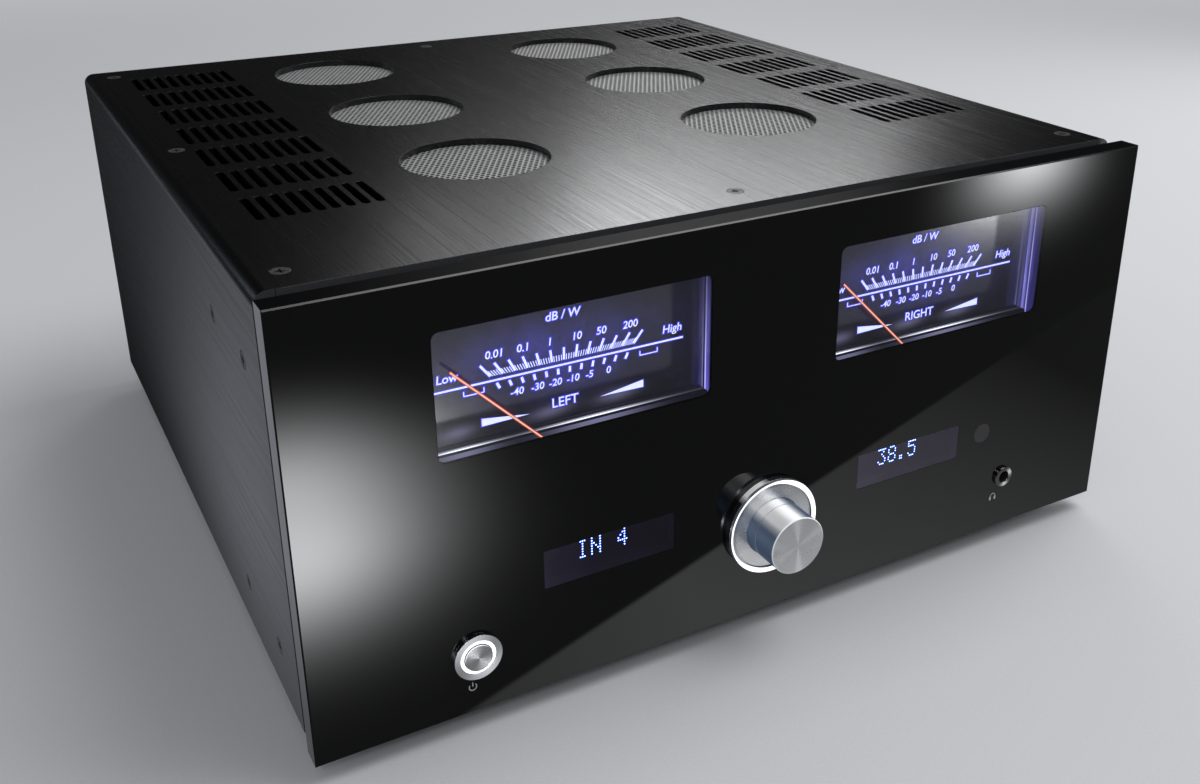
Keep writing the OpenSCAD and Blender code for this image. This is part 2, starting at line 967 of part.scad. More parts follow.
// A dial with a ledge behind the sweep of its needle
module meter_dial(s) {
    x = s * meter_x;
    half = housing_half - housing_wall - seat;
    in = housing_wall + seat;
    difference() {
        union() {
            block([x - half, dial_y, housing_low + in], [x + half, dial_y + dial_t, housing_top - in]);
            block([x - half, ledge_y, ledge_z - ledge_t], [x + half, dial_y + dial_t / 2, ledge_z]);
        }
        along_y(x, dial_y - over, dial_y + dial_t + over, pivot_z, needle_shaft_r + 1);
    }
}

module needle(s) {
    x = s * meter_x;
    along_y(x, needle_y - hub_t / 2, needle_y + hub_t / 2, pivot_z, hub_r);
    along_y(x, needle_y, movement_y + shaft_l, pivot_z, needle_shaft_r);
    translate([x, needle_y, pivot_z])
        rotate([0, -needle_lean, 0]) {
            translate([0, 0, needle_l / 2])
                cube([needle_w, needle_t, needle_l], center = true);
            translate([0, 0, -tail_l / 2 - hub_r / 2])
                cube([tail_w, hub_t, tail_l], center = true);
        }
}

module movement(s) {
    x = s * meter_x;
    half_w = 22;
    half_h = pivot_room - housing_wall - 1;
    difference() {
        block([x - half_w, movement_y, pivot_z - half_h], [x + half_w, housing_floor, pivot_z + half_h]);
        along_y(x, movement_y - over, movement_y + shaft_l + 1, pivot_z, needle_shaft_r + run);
    }
}

module meter_lenses() {
    color("#c8d0dc80")
        for (s = [-1, 1])
            meter_lens(s);
}

module left_meter_housing() { color("#17171b") meter_housing(-1); }
module right_meter_housing() { color("#17171b") meter_housing(1); }
module left_meter_dial() { color("#26263a") meter_dial(-1); }
module right_meter_dial() { color("#26263a") meter_dial(1); }
module left_needle() { color("#f05a44") needle(-1); }
module right_needle() { color("#f05a44") needle(1); }

module meter_movements() {
    color("#9a9a9a")
        for (s = [-1, 1])
            movement(s);
}

// A strip of lamps under the top of each meter housing
module meter_lamps() {
    strip_in = 10;
    strip_half = meter_w / 2 - strip_in;
    color("#e8ecff")
        for (s = [-1, 1])
            block([s * meter_x - strip_half, panel_back + 2, housing_top - housing_wall - board_t],
                [s * meter_x + strip_half, dial_y - 2, housing_top - housing_wall]);
}

// Displays
module display_windows() {
    w = display_w - 2 * bond;
    h = display_h - 2 * bond;
    color("#16141f")
        for (s = [-1, 1])
            round_block(s * display_x, face_y, panel_back, display_z, w, h, display_round - bond);
}

module display_modules() {
    glass_w = display_w + 2 * display_frame;
    glass_h = display_h + 2 * display_frame;
    color("#1c2a22")
        for (s = [-1, 1]) {
            translate([s * display_x - glass_w / 2, panel_back, display_z - glass_h / 2])
                cube([glass_w, frame_back - panel_back, glass_h]);
            translate([s * display_x - glass_w / 2 - display_board, frame_back,
                display_z - glass_h / 2 - display_board])
                cube([glass_w + 2 * display_board, board_t, glass_h + 2 * display_board]);
        }
}

// Volume control
module volume_knob() {
    front = face_y - knob_reach;
    groove_y = front + groove_in;
    color("#c9cbcd")
        difference() {
            union() {
                along_y(0, front + knob_bevel, face_y - knob_gap, knob_z, knob_r);
                translate([0, front, knob_z])
                    rotate([-90, 0, 0])
                        cylinder(r1 = knob_r - knob_bevel, r2 = knob_r, h = knob_bevel);
            }
            tube_y(0, groove_y, groove_y + groove_w, knob_z, knob_r + over, knob_r - groove_d);
            along_y(0, face_y - knob_gap - shaft_in_knob, face_y, knob_z, shaft_r + run);
        }
}

module volume_shaft() {
    color("#b0b2b4")
        along_y(0, face_y - knob_gap - shaft_in_knob, shaft_end, knob_z, shaft_r);
}

module encoder_plunger() {
    color("#d8d8d0")
        along_y(0, shaft_end + screw_play, shaft_end + screw_play + plunger_t, knob_z, cavity_r - move_play);
}

module volume_encoder() {
    color("#6d7074")
        difference() {
            union() {
                translate([0, frame_back + encoder_d / 2, knob_z])
                    cube([encoder_w, encoder_d, encoder_w], center = true);
                along_y(0, bush_front, frame_back + over, knob_z, bush_r);
            }
            along_y(0, bush_front - over, board_y, knob_z, shaft_r + run);
            along_y(0, cavity_y, board_y + over, knob_z, cavity_r);
        }
}

module volume_flange() {
    color("#c2c4c6")
        union() {
            tube_y(0, face_y - flange_t, face_y, knob_z, flange_out, flange_in);
            tube_y(0, glow_y + glow_t + bond, face_y, knob_z, glow_out, flange_in);
        }
}

module volume_light_ring() {
    color("#f4f6fa")
        tube_y(0, glow_y, glow_y + glow_t, knob_z, glow_out, glow_in);
}

// Power button
module power_bezel() {
    color("#d6d8da") {
        difference() {
            union() {
                along_y(-power_x, face_y - power_proud, face_y, power_z, bezel_out);
                along_y(-power_x, face_y - power_proud, panel_back, power_z, sleeve_r);
            }
            along_y(-power_x, face_y - power_proud - over, panel_back + over, power_z, bezel_in);
        }
    }
}

module power_light_ring() {
    color("#f4f6fa")
        tube_y(-power_x, face_y - power_proud + 0.4, button_back, power_z, bezel_in - bond, glow_bore);
}

module power_button() {
    color("#cfd1d3") {
        along_y(-power_x, face_y - power_reach, button_back, power_z, power_r);
        along_y(-power_x, button_back - over, switch_y + stem_in, power_z, stem_r);
    }
}

module power_switch() {
    color("#2f3338")
        difference() {
            translate([-power_x, switch_y + switch_d / 2, power_z])
                cube([switch_w, switch_d, switch_w], center = true);
            along_y(-power_x, switch_y - over, switch_y + stem_in + power_travel + over, power_z,
                stem_r + move_play);
        }
}

// Headphone socket and remote window
module headphone_socket() {
    color("#c4c6c8")
        difference() {
            union() {
                along_y(jack_x, face_y - jack_proud, face_y, jack_z, jack_ring);
                along_y(jack_x, face_y - jack_proud, frame_back + over, jack_z, jack_sleeve);
                block([jack_x - jack_body / 2, frame_back, jack_z - jack_body / 2],
                    [jack_x + jack_body / 2, jack_back, jack_z + jack_body / 2]);
            }
            along_y(jack_x, face_y - jack_proud - over, face_y - jack_proud + jack_depth, jack_z, jack_bore);
        }
}

module remote_window() {
    color("#2a2a2e")
        along_y(remote_x, face_y, panel_back, remote_z, remote_r - bond);
}

// Board that carries the encoder, the power switch and the remote sensor
module control_board() {
    sensor = 6;
    color("#1f5a35")
        union() {
            block([-control_left, board_y, control_low], [control_right, board_y + board_t, control_high]);
            block([remote_x - sensor / 2, board_y - sensor, remote_z - sensor / 2],
                [remote_x + sensor / 2, board_y + board_t / 2, remote_z + sensor / 2]);
        }
}

// Transformer on its axis
module at_toroid(z) {
    translate([0, case_front + toroid_y, z])
        children();
}

module transformer() {
    w = toroid_r - toroid_hole;
    color("#8c5a2b")
        at_toroid(winding_z + toroid_h / 2)
            rotate_extrude($fn = 96)
                translate([toroid_hole + w / 2, 0])
                    round_rect(w, toroid_h, toroid_round);
}

module transformer_pads() {
    color("#202020")
        for (z = [tray_top, winding_z + toroid_h])
            at_toroid(z)
                difference() {
                    cylinder(r = toroid_r - toroid_round, h = toroid_pad);
                    translate([0, 0, -over])
                        cylinder(r = bolt_r + screw_play, h = toroid_pad + 2 * over);
                }
}

// The dished plate on the transformer and the bolt through its middle
module transformer_clamp() {
    color("#9b9da0") {
        at_toroid(dish_z)
            difference() {
                cylinder(r1 = toroid_r - toroid_round, r2 = toroid_r - toroid_round - 6, h = dish_t);
                translate([0, 0, -over])
                    cylinder(r = bolt_r + screw_play, h = dish_t + 2 * over);
            }
        at_toroid(bolt_z) {
            cylinder(r = bolt_head_r, h = bolt_head_h, $fn = 6);
            translate([0, 0, case_z - bolt_z])
                cylinder(r = bolt_r, h = bolt_z - case_z + bolt_head_h / 2);
        }
    }
}

// Power supply
module power_board() {
    color("#1f5a35")
        translate([-power_board_w / 2, case_front + power_board_y - power_board_l / 2, power_pcb_z])
            cube([power_board_w, power_board_l, board_t]);
}

module capacitors() {
    color("#23324f")
        for (i = [-1:1], j = [-0.5, 0.5])
            translate([i * can_pitch_x, case_front + power_board_y + j * can_pitch_y, power_pcb_z + board_t])
                cylinder(r = can_r, h = can_h);
}

// A heat sink on the right: its base, its fins and the pillars of the amplifier board
module heat_sink() {
    base_out = sink_in + sink_base;
    step = (sink_l - fin_t) / (fin_count - 1);
    post_in = amp_margin + amp_post_in;
    union() {
        block([sink_in, sink_y, tray_top], [base_out, sink_y + sink_l, sink_top]);
        for (i = [0:fin_count - 1])
            block([base_out - over, sink_y + i * step, tray_top],
                [sink_out, sink_y + i * step + fin_t, sink_top]);
        for (y = [sink_y + post_in, sink_y + sink_l - post_in])
            for (z = [amp_low + amp_post_in, amp_high - amp_post_in])
                translate([sink_in - amp_gap, y, z])
                    rotate([0, 90, 0])
                        cylinder(r = amp_post_r, h = amp_gap + over);
    }
}

module right_heat_sink() { color("#3a3a3c") heat_sink(); }

module left_heat_sink() {
    color("#3a3a3c")
        mirror([1, 0, 0])
            heat_sink();
}

module output_transistors() {
    count = 4;
    step = (sink_l - 2 * amp_margin) / count;
    color("#18181a")
        for (m = [0, 1], i = [0:count - 1])
            mirror([m, 0, 0])
                translate([sink_in - transistor_t, sink_y + amp_margin + (i + 0.5) * step - transistor_w / 2,
                    transistor_z])
                    cube([transistor_t, transistor_w, transistor_h]);
}

module amplifier_boards() {
    color("#1f5a35")
        for (m = [0, 1])
            mirror([m, 0, 0])
                block([amp_x, sink_y + amp_margin, amp_low],
                    [amp_x + board_t, sink_y + sink_l - amp_margin, amp_high]);
}

// Rear connectors
module input_board() {
    color("#1f5a35")
        block([input_left, input_y, tray_top + optical_rise - input_margin],
            [input_right, input_y + board_t, tray_top + line_rise + line_row + input_margin]);
}

module line_sockets() {
    color("#c9a24a")
        at_line_sockets()
            difference() {
                union() {
                    along_y(0, rear_in - socket_d, case_back + 1, 0, line_base_r);
                    along_y(0, case_back, case_back + line_shell_l, 0, line_shell_r);
                }
                along_y(0, rear_in, case_back + line_shell_l + over, 0, line_pin_r);
            }
}

module optical_sockets() {
    color("#17171a")
        at_optical_sockets()
            difference() {
                block([-optical_w / 2, rear_in - socket_d, -optical_w / 2],
                    [optical_w / 2, case_back, optical_w / 2]);
                block([-optical_hole / 2, case_back - optical_hole_d, -optical_hole / 2],
                    [optical_hole / 2, case_back + over, optical_hole / 2]);
            }
}

module mains_inlet() {
    pin_w = 4;
    pin_t = 2;
    floor_y = case_back + inlet_rim_t - inlet_cavity_d;
    color("#151516")
        translate([-inlet_x, 0, mains_z]) {
            difference() {
                union() {
                    block([-inlet_w / 2, case_back - inlet_d, -inlet_h / 2],
                        [inlet_w / 2, case_back + over, inlet_h / 2]);
                    block([-inlet_w / 2 - inlet_rim, case_back, -inlet_h / 2 - inlet_rim],
                        [inlet_w / 2 + inlet_rim, case_back + inlet_rim_t, inlet_h / 2 + inlet_rim]);
                }
                block([-inlet_cavity_w / 2, floor_y, -inlet_cavity_h / 2],
                    [inlet_cavity_w / 2, case_back + inlet_rim_t + over, inlet_cavity_h / 2]);
            }
            for (p = [[-7, -2], [7, -2], [0, 2]])
                block([p[0] - pin_t / 2, floor_y - over, p[1] - pin_w / 2],
                    [p[0] + pin_t / 2, floor_y + inlet_pin_l, p[1] + pin_w / 2]);
        }
}

module rocker_frame() {
    w = rocker_wall;
    color("#151516")
        translate([-rocker_x, 0, mains_z])
            difference() {
                union() {
                    block([-rocker_w / 2, case_back - rocker_d, -rocker_h / 2],
                        [rocker_w / 2, case_back + over, rocker_h / 2]);
                    block([-rocker_w / 2 - rocker_rim, case_back, -rocker_h / 2 - rocker_rim],
                        [rocker_w / 2 + rocker_rim, case_back + rocker_rim_t, rocker_h / 2 + rocker_rim]);
                }
                block([w - rocker_w / 2, case_back - rocker_d + w, w - rocker_h / 2],
                    [rocker_w / 2 - w, case_back + rocker_rim_t + over, rocker_h / 2 - w]);
                translate([-rocker_w / 2 + w - rocker_pin_l - move_play, rocker_y, 0])
                    rotate([0, 90, 0])
                        cylinder(r = rocker_pin_r + run,
                            h = rocker_w - 2 * w + 2 * rocker_pin_l + 2 * move_play);
            }
}

// The mains rocker, tilted to its off side, on two pins
module rocker() {
    half = rocker_w / 2 - rocker_wall - move_play;
    color("#0f0f10")
        translate([-rocker_x, rocker_y, mains_z])
            rotate([-rocker_tilt, 0, 0]) {
                translate([-half, 0, 0])
                    rotate([90, 0, 90])
                        linear_extrude(2 * half)
                            polygon([[-6, -4], [0, -rocker_r], [4.2, -rocker_r], [2.4, 0], [4.2, rocker_r],
                                [0, rocker_r], [-6, 4]]);
                translate([-half - rocker_pin_l, 0, 0])
                    rotate([0, 90, 0])
                        cylinder(r = rocker_pin_r, h = 2 * half + 2 * rocker_pin_l);
            }
}

// Speaker posts: the fixed insulators, studs and nuts
module speaker_posts() {
    stud_back = case_back + post_reach;
    color("#b98f3c")
        at_posts()
            difference() {
                union() {
                    along_y(0, case_back, case_back + post_base_t, 0, post_base_r);
                    along_y(0, rear_in - over, case_back + over, 0, post_neck_r);
                    along_y(0, rear_in - post_nut_t, rear_in, 0, post_nut_r);
                    along_y(0, rear_in - post_nut_t - post_tail, stud_back, 0, stud_r);
                }
                along_y(0, stud_back - banana_l, stud_back + over, 0, banana_r);
            }
}

// The washer that clamps a bare wire on post i, and the fluted cap that screws down on it
module post_ring(i) {
    tube_y(post_x + i * post_pitch, post_ring_y, post_ring_y + post_ring_t, post_z,
        cap_r - post_ring_in, stud_r + move_play);
}

module post_cap(i) {
    translate([post_x + i * post_pitch, post_cap_y, post_z])
        difference() {
            along_y(0, 0, cap_l, 0, cap_r);
            along_y(0, -over, cap_l + over, 0, stud_r + run);
            for (k = [0:flute_count - 1])
                rotate([0, k * 360 / flute_count, 0])
                    along_y(cap_r + flute_r / 2, 3, cap_l + over, 0, flute_r);
        }
}

module post_ring_1() { color("#c9a24a") post_ring(0); }
module post_ring_2() { color("#c9a24a") post_ring(1); }
module post_ring_3() { color("#c9a24a") post_ring(2); }
module post_ring_4() { color("#c9a24a") post_ring(3); }
module post_cap_1() { color("#a3161a") post_cap(0); }
module post_cap_2() { color("#161617") post_cap(1); }
module post_cap_3() { color("#a3161a") post_cap(2); }
module post_cap_4() { color("#161617") post_cap(3); }

front_panel();
front_frame();
top_cover();
vent_meshes();
left_side_panel();
right_side_panel();
base_tray();
rear_panel();
feet();
foot_pads();
case_screws();
chassis_screws();
meter_lenses();
left_meter_housing();
right_meter_housing();
left_meter_dial();
right_meter_dial();
left_needle();
right_needle();
meter_movements();
meter_lamps();
display_windows();
display_modules();
volume_knob();
volume_shaft();
encoder_plunger();
volume_encoder();
volume_flange();
volume_light_ring();
power_bezel();
power_light_ring();
power_button();
power_switch();
headphone_socket();
remote_window();
control_board();
transformer();
transformer_pads();
transformer_clamp();
capacitors();
power_board();
left_heat_sink();
right_heat_sink();
output_transistors();
amplifier_boards();
input_board();
line_sockets();
optical_sockets();
mains_inlet();
rocker_frame();
rocker();
speaker_posts();
post_ring_1();
post_ring_2();
post_ring_3();
post_ring_4();
post_cap_1();
post_cap_2();
post_cap_3();
post_cap_4();
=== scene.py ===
"""Looks of the stereo amplifier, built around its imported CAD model.

Sizes and places are millimetres unless a comment says metres, and MM turns them into Blender's metres.
A noise's scale is its number of waves in a metre, for each axis or for all three.
"""
import json
import math
from collections import namedtuple
from functools import reduce

import bmesh
import bpy
from mathutils import Euler, Matrix, Vector


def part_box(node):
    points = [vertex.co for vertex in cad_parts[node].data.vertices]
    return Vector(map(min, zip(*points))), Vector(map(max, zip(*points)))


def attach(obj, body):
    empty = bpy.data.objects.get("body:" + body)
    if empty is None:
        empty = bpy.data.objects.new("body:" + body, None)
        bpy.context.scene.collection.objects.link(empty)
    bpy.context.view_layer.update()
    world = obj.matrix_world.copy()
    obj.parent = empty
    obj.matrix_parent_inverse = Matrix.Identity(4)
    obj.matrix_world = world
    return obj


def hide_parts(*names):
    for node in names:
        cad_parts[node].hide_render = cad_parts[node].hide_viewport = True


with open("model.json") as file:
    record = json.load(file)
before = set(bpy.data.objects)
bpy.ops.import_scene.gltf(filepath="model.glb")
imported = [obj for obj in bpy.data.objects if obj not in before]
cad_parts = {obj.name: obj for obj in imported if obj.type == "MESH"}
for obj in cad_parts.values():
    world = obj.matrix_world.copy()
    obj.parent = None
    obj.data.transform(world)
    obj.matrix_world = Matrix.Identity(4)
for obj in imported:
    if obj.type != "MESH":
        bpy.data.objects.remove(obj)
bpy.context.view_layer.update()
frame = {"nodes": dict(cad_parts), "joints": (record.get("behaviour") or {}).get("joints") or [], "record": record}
nodes = frame["nodes"]
record = frame["record"]
MM = 0.001


# Places taken from the frame
def millimetres(point):
    return [c / MM for c in point]


def corners(node):
    """The lowest and the highest corner of a node."""
    return [millimetres(corner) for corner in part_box(node)]


def middle(box):
    return [(low + high) / 2 for low, high in zip(*box)]


AXES = {joint["name"]: millimetres(joint["pos_m"]) for joint in frame["joints"] if "pos_m" in joint}
MOUNTS = {mount["name"]: millimetres(mount["pos_m"]) for mount in record["mounts"]}
VENTS = [middle([millimetres(corner) for corner in gap["box_m"]])
         for gap in record["physics"]["openings"] if gap["name"].endswith("_vent")]

FACE, PANEL_BACK = (corner[1] for corner in corners("front_panel"))
REAR = corners("rear_panel")[1][1]
METER_X, _, PIVOT_Z = AXES["right_needle_swing"]
METER_Z = middle(corners("meter_lenses"))[2]
KNOB_X, _, KNOB_Z = AXES["volume_turn"]
POWER_X, _, POWER_Z = middle(corners("power_button"))
JACK_X, _, JACK_Z = MOUNTS["headphone_bore"]
MESH_LOW, MESH_TOP = (corner[2] for corner in corners("vent_meshes"))

# The dial's face lies behind the front edge of the ledge below it
LEDGE_DEPTH = 3.6
LEDGE = corners("left_meter_dial")[0][1]
DIAL = LEDGE + LEDGE_DEPTH
# Height over which the painted lamp light fades on the walls of a meter
LIT_H = 55.0

# Values that several finishes share
ACRYLIC_IOR = 1.49
NOISE_LOW, NOISE_HIGH = 0.3, 0.7
BLACK = (0.0, 0.0, 0.0, 1.0)
EDGE_BLACK = (0.004, 0.004, 0.005)
DIAGONAL = math.sqrt(0.5)

# Camera fitted to the photograph: its turn in degrees, and its place and nearest distance in metres
CAMERA_TURN = (67.99806, -0.05604, -29.72913)
CAMERA_PLACE = (-0.29963, -0.62681, 0.37199)
CAMERA_SENSOR, CAMERA_LENS = 36.0, 38.306
CAMERA_SHIFT = (-0.03793, -0.07874)
CAMERA_NEAR = 0.01


def camera():
    data = bpy.data.cameras.new("camera")
    cam = bpy.data.objects.new("camera", data)
    bpy.context.scene.collection.objects.link(cam)
    turn = Euler([math.radians(angle) for angle in CAMERA_TURN])
    cam.matrix_world = Matrix.LocRotScale(Vector(CAMERA_PLACE), turn, None)
    data.sensor_fit = "HORIZONTAL"
    data.sensor_width = CAMERA_SENSOR
    data.lens = CAMERA_LENS
    data.shift_x, data.shift_y = CAMERA_SHIFT
    data.clip_start = CAMERA_NEAR
    bpy.context.scene.camera = cam


# Shader helpers
class Graph:
    """A node tree with short calls: values go to sockets, and outputs of other nodes are linked."""

    def __init__(self, tree):
        self.tree = tree
        tree.nodes.clear()

    def add(self, kind, props=None, **sockets):
        node = self.tree.nodes.new("ShaderNode" + kind)
        for key, value in (props or {}).items():
            setattr(node, key, value)
        self.put(node, **sockets)
        return node

    def put(self, node, **sockets):
        """Fill sockets by name, with _ for a space, or by number, as _0."""
        for key, value in sockets.items():
            socket = node.inputs[int(key[1:]) if key[0] == "_" else key.replace("_", " ")]
            if isinstance(value, bpy.types.NodeSocket):
                self.tree.links.new(value, socket)
            else:
                socket.default_value = value

    def math(self, op, a, b=0.0):
        return self.add("Math", {"operation": op}, _0=a, _1=b).outputs[0]

    def plus(self, *values):
        return reduce(lambda a, b: self.math("ADD", a, b), values)

    def times(self, *values):
        return reduce(lambda a, b: self.math("MULTIPLY", a, b), values)

    def minus(self, a, b):
        return self.math("SUBTRACT", a, b)

    def absolute(self, a):
        return self.math("ABSOLUTE", a)

    def weigh(self, *pairs):
        """The sum of values, each times its weight."""
        return self.plus(*(self.times(value, weight) for value, weight in pairs))

    def span(self, value, low, high, to_low=0.0, to_high=1.0, smooth=False):
        kind = {"interpolation_type": "SMOOTHSTEP"} if smooth else {}
        ends = {"From_Min": low, "From_Max": high, "To_Min": to_low, "To_Max": to_high}
        return self.add("MapRange", kind, Value=value, **ends).outputs[0]

    def vary(self, noise, to_low=0.0, to_high=1.0):
        """Spread the usual values of a noise over a range."""
        return self.span(noise, NOISE_LOW, NOISE_HIGH, to_low, to_high)

    def mix(self, fac, a, b, blend="MIX"):
        node = self.add("Mix", {"data_type": "RGBA", "blend_type": blend, "clamp_factor": True})
        self.put(node, _0=fac, _6=a, _7=b)
        return node.outputs[2]

    def mix_value(self, fac, a, b):
        return self.add("Mix", {"data_type": "FLOAT"}, _0=fac, _2=a, _3=b).outputs[0]

    def ramp(self, value, stops):
        node = self.add("ValToRGB", Fac=value)
        elements = node.color_ramp.elements
        while len(elements) < len(stops):
            elements.new(1.0)
        for element, (at, color) in zip(elements, stops):
            element.position = at
            element.color = (*color, 1.0)
        return node.outputs[0]

    def place(self, kind="Object"):
        return self.add("TexCoord").outputs[kind]

    def surface(self, kind):
        return self.add("NewGeometry").outputs[kind]

    def xyz(self, vector=None):
        """The three parts of a vector, by default of the place in metres."""
        return self.add("SeparateXYZ", Vector=vector or self.place()).outputs

    def facing(self):
        """The three parts of the direction that the surface faces."""
        return self.xyz(self.surface("True Normal"))

    def front(self):
        """1 where the surface faces the front, and 0 on its bevels and walls."""
        return self.span(self.facing()[1], -0.9, -0.6, 1.0, 0.0)

    def pane(self):
        """1 on the front and back of a window, and 0 on its edges."""
        return self.span(self.absolute(self.facing()[1]), 0.4, 0.6)

    def length(self, vector):
        return self.add("VectorMath", {"operation": "LENGTH"}, _0=vector).outputs["Value"]

    def dot(self, a, b):
        return self.add("VectorMath", {"operation": "DOT_PRODUCT"}, _0=a, _1=b).outputs["Value"]

    def about(self, x, z, axis_x, axis_z):
        """Offsets and distance from an axis along y."""
        dx, dz = self.minus(x, axis_x), self.minus(z, axis_z)
        return dx, dz, self.math("SQRT", self.plus(self.times(dx, dx), self.times(dz, dz)))

    def noise(self, scale, detail=4.0, rough=0.6, where=None):
        scale = scale if isinstance(scale, tuple) else (scale,) * 3
        point = self.add("Mapping", Vector=where or self.place(), Scale=scale).outputs[0]
        return self.add("TexNoise", Vector=point, Scale=1.0, Detail=detail, Roughness=rough).outputs[0]

    def spot(self, centre, size, angle, height, where):
        """A soft bell-shaped spot on the plane of x and y, in metres; z hardly counts."""
        local = self.add("Mapping", {"vector_type": "TEXTURE"}, Vector=where, Location=(*centre, 0.0),
                         Rotation=(0.0, 0.0, angle), Scale=(*size, 1000.0)).outputs[0]
        far = self.length(local)
        return self.times(self.math("EXPONENT", self.times(far, far, -1.0)), height)


def rgba(color, k=1.0):
    return (color[0] * k, color[1] * k, color[2] * k, 1.0)


def start(name, color=None):
    mat = bpy.data.materials.new(name)
    mat.use_nodes = True
    g = Graph(mat.node_tree)
    out = g.add("OutputMaterial")
    bsdf = g.add("BsdfPrincipled")
    g.tree.links.new(bsdf.outputs[0], out.inputs[0])
    if color:
        g.put(bsdf, Base_Color=rgba(color))
    return mat, g, bsdf


def normal(g, bsdf, height=None, strength=0.0, depth=0.00002, edge=0.0):
    """Rounded edges and a fine relief, of a depth in metres, on the shading normal."""
    base = g.add("Bevel", {"samples": 4}, Radius=edge * MM).outputs[0] if edge else None
    if height is not None:
        node = g.add("Bump", Height=height, Strength=strength, Distance=depth)
        if base:
            g.put(node, Normal=base)
        base = node.outputs[0]
    if base:
        g.put(bsdf, Normal=base)


def finish(name, color, rough, metal=0.0, tint=0.2, grain=900.0, spread=0.08, bump=0.0, depth=0.00003,
           edge=0.0, worn=None, **sockets):
    """A finish whose colour, gloss and relief vary with two scales of noise; worn lightens convex edges."""
    mat, g, bsdf = start(name, color)
    grain = grain if isinstance(grain, tuple) else (grain,) * 3
    fine = g.noise(grain, 5.0, 0.65)
    broad = g.noise(tuple(s * 0.05 for s in grain), 3.0, 0.5)
    both = g.weigh((fine, 0.55), (broad, 0.45))
    out = g.mix(g.vary(both), rgba(color, 1.0 - tint), rgba(color, 1.0 + tint))
    if worn:
        rub = g.times(g.span(g.surface("Pointiness"), 0.52, 0.6), g.span(fine, 0.4, 0.6, 0.2, 1.0))
        out = g.mix(rub, out, rgba(worn))
    gloss = g.vary(broad, max(rough - spread, 0.02), rough + spread)
    g.put(bsdf, Base_Color=out, Roughness=gloss, Metallic=metal, **sockets)
    normal(g, bsdf, fine if bump else None, bump, depth, edge)
    return mat


# Finishes that show most
def gloss_black():
    """Polished black acrylic with a little dust: softer on the bevels, and hardly shining on top."""
    mat, g, bsdf = start("acrylic_black")
    haze = g.noise(14.0)
    dust = g.noise(5200.0, 2.0, 0.5)
    up = g.facing()[2]
    tone = g.mix(g.span(dust, 0.66, 0.8), rgba((0.0024, 0.0025, 0.0028)), rgba((0.012, 0.012, 0.013)))
    gloss = g.plus(g.vary(haze, 0.01, 0.03), g.span(up, 0.3, 0.95, 0.0, 0.3))
    g.put(bsdf, Base_Color=tone, IOR=ACRYLIC_IOR, Roughness=gloss)
    g.put(bsdf, Specular_IOR_Level=g.span(up, 0.8, 0.95, 0.5, 0.01))
    normal(g, bsdf, g.noise(9.0, 2.0, 0.4), 0.05, 0.0002)
    return mat


def brushed_black():
    """Black brushed metal: strokes from front to back on every face, with painted glints in strokes of more
    contrast towards the right side, and a plainer cut edge behind the front panel."""
    color = (0.052, 0.053, 0.056)
    cut_color = (0.05, 0.051, 0.055)
    cut_depth = 14.0
    mat, g, bsdf = start("aluminium_black", color)
    fine = g.noise((2600.0, 9.0, 2600.0), 5.0, 0.75)
    stroke = g.noise((640.0, 5.0, 640.0), 4.0, 0.75)
    coarse = g.noise((330.0, 9.0, 330.0), 4.0, 0.75)
    broad = g.noise((70.0, 1.6, 70.0), 3.0, 0.6)
    hair = g.weigh((fine, 0.55), (stroke, 0.45))
    tone = g.weigh((hair, 0.88), (broad, 0.12))

    def shades(*steps):
        return [(at, [c * k for c in color]) for at, k in steps]

    light = g.ramp(tone, shades((0.38, 0.5), (0.5, 1.0), (0.62, 1.7)))
    # Painted glints: towards the right the strokes get more contrast, where the light catches them
    painted_glint_strokes = g.ramp(coarse, shades((0.4, 0.3), (0.5, 0.9), (0.6, 2.1)))
    x, y, _ = g.xyz()
    brush = g.mix(g.span(x, 0.02, 0.2, 0.0, 0.85, True), light, painted_glint_strokes)
    cut = g.times(g.front(), g.math("LESS_THAN", y, (PANEL_BACK + cut_depth) * MM))
    g.put(bsdf, Base_Color=g.mix(cut, brush, rgba(cut_color)), Metallic=g.span(cut, 0.0, 1.0, 1.0, 0.2))
    g.put(bsdf, Roughness=g.span(hair, 0.35, 0.65, 0.3, 0.2), Anisotropic=0.65, Anisotropic_Rotation=0.25)
    g.put(bsdf, Tangent=g.add("CombineXYZ", X=0.0, Y=1.0, Z=0.0).outputs[0])
    normal(g, bsdf, fine, 0.3, 0.00004, 0.35)
    return mat


# Painted reflection, highlight and shade on turned walls: colours from those that face away from an angle
# to those that face it, and a painted bright rim
PaintedWalls = namedtuple("PaintedWalls", "stops gloss angle metal face_metal rim", defaults=(0.0,))
# Painted highlights as bright rays on a turned face: its axis, the level between rays, and angle,
# sharpness and strength of each
PaintedRays = namedtuple("PaintedRays", "x z base lobes")


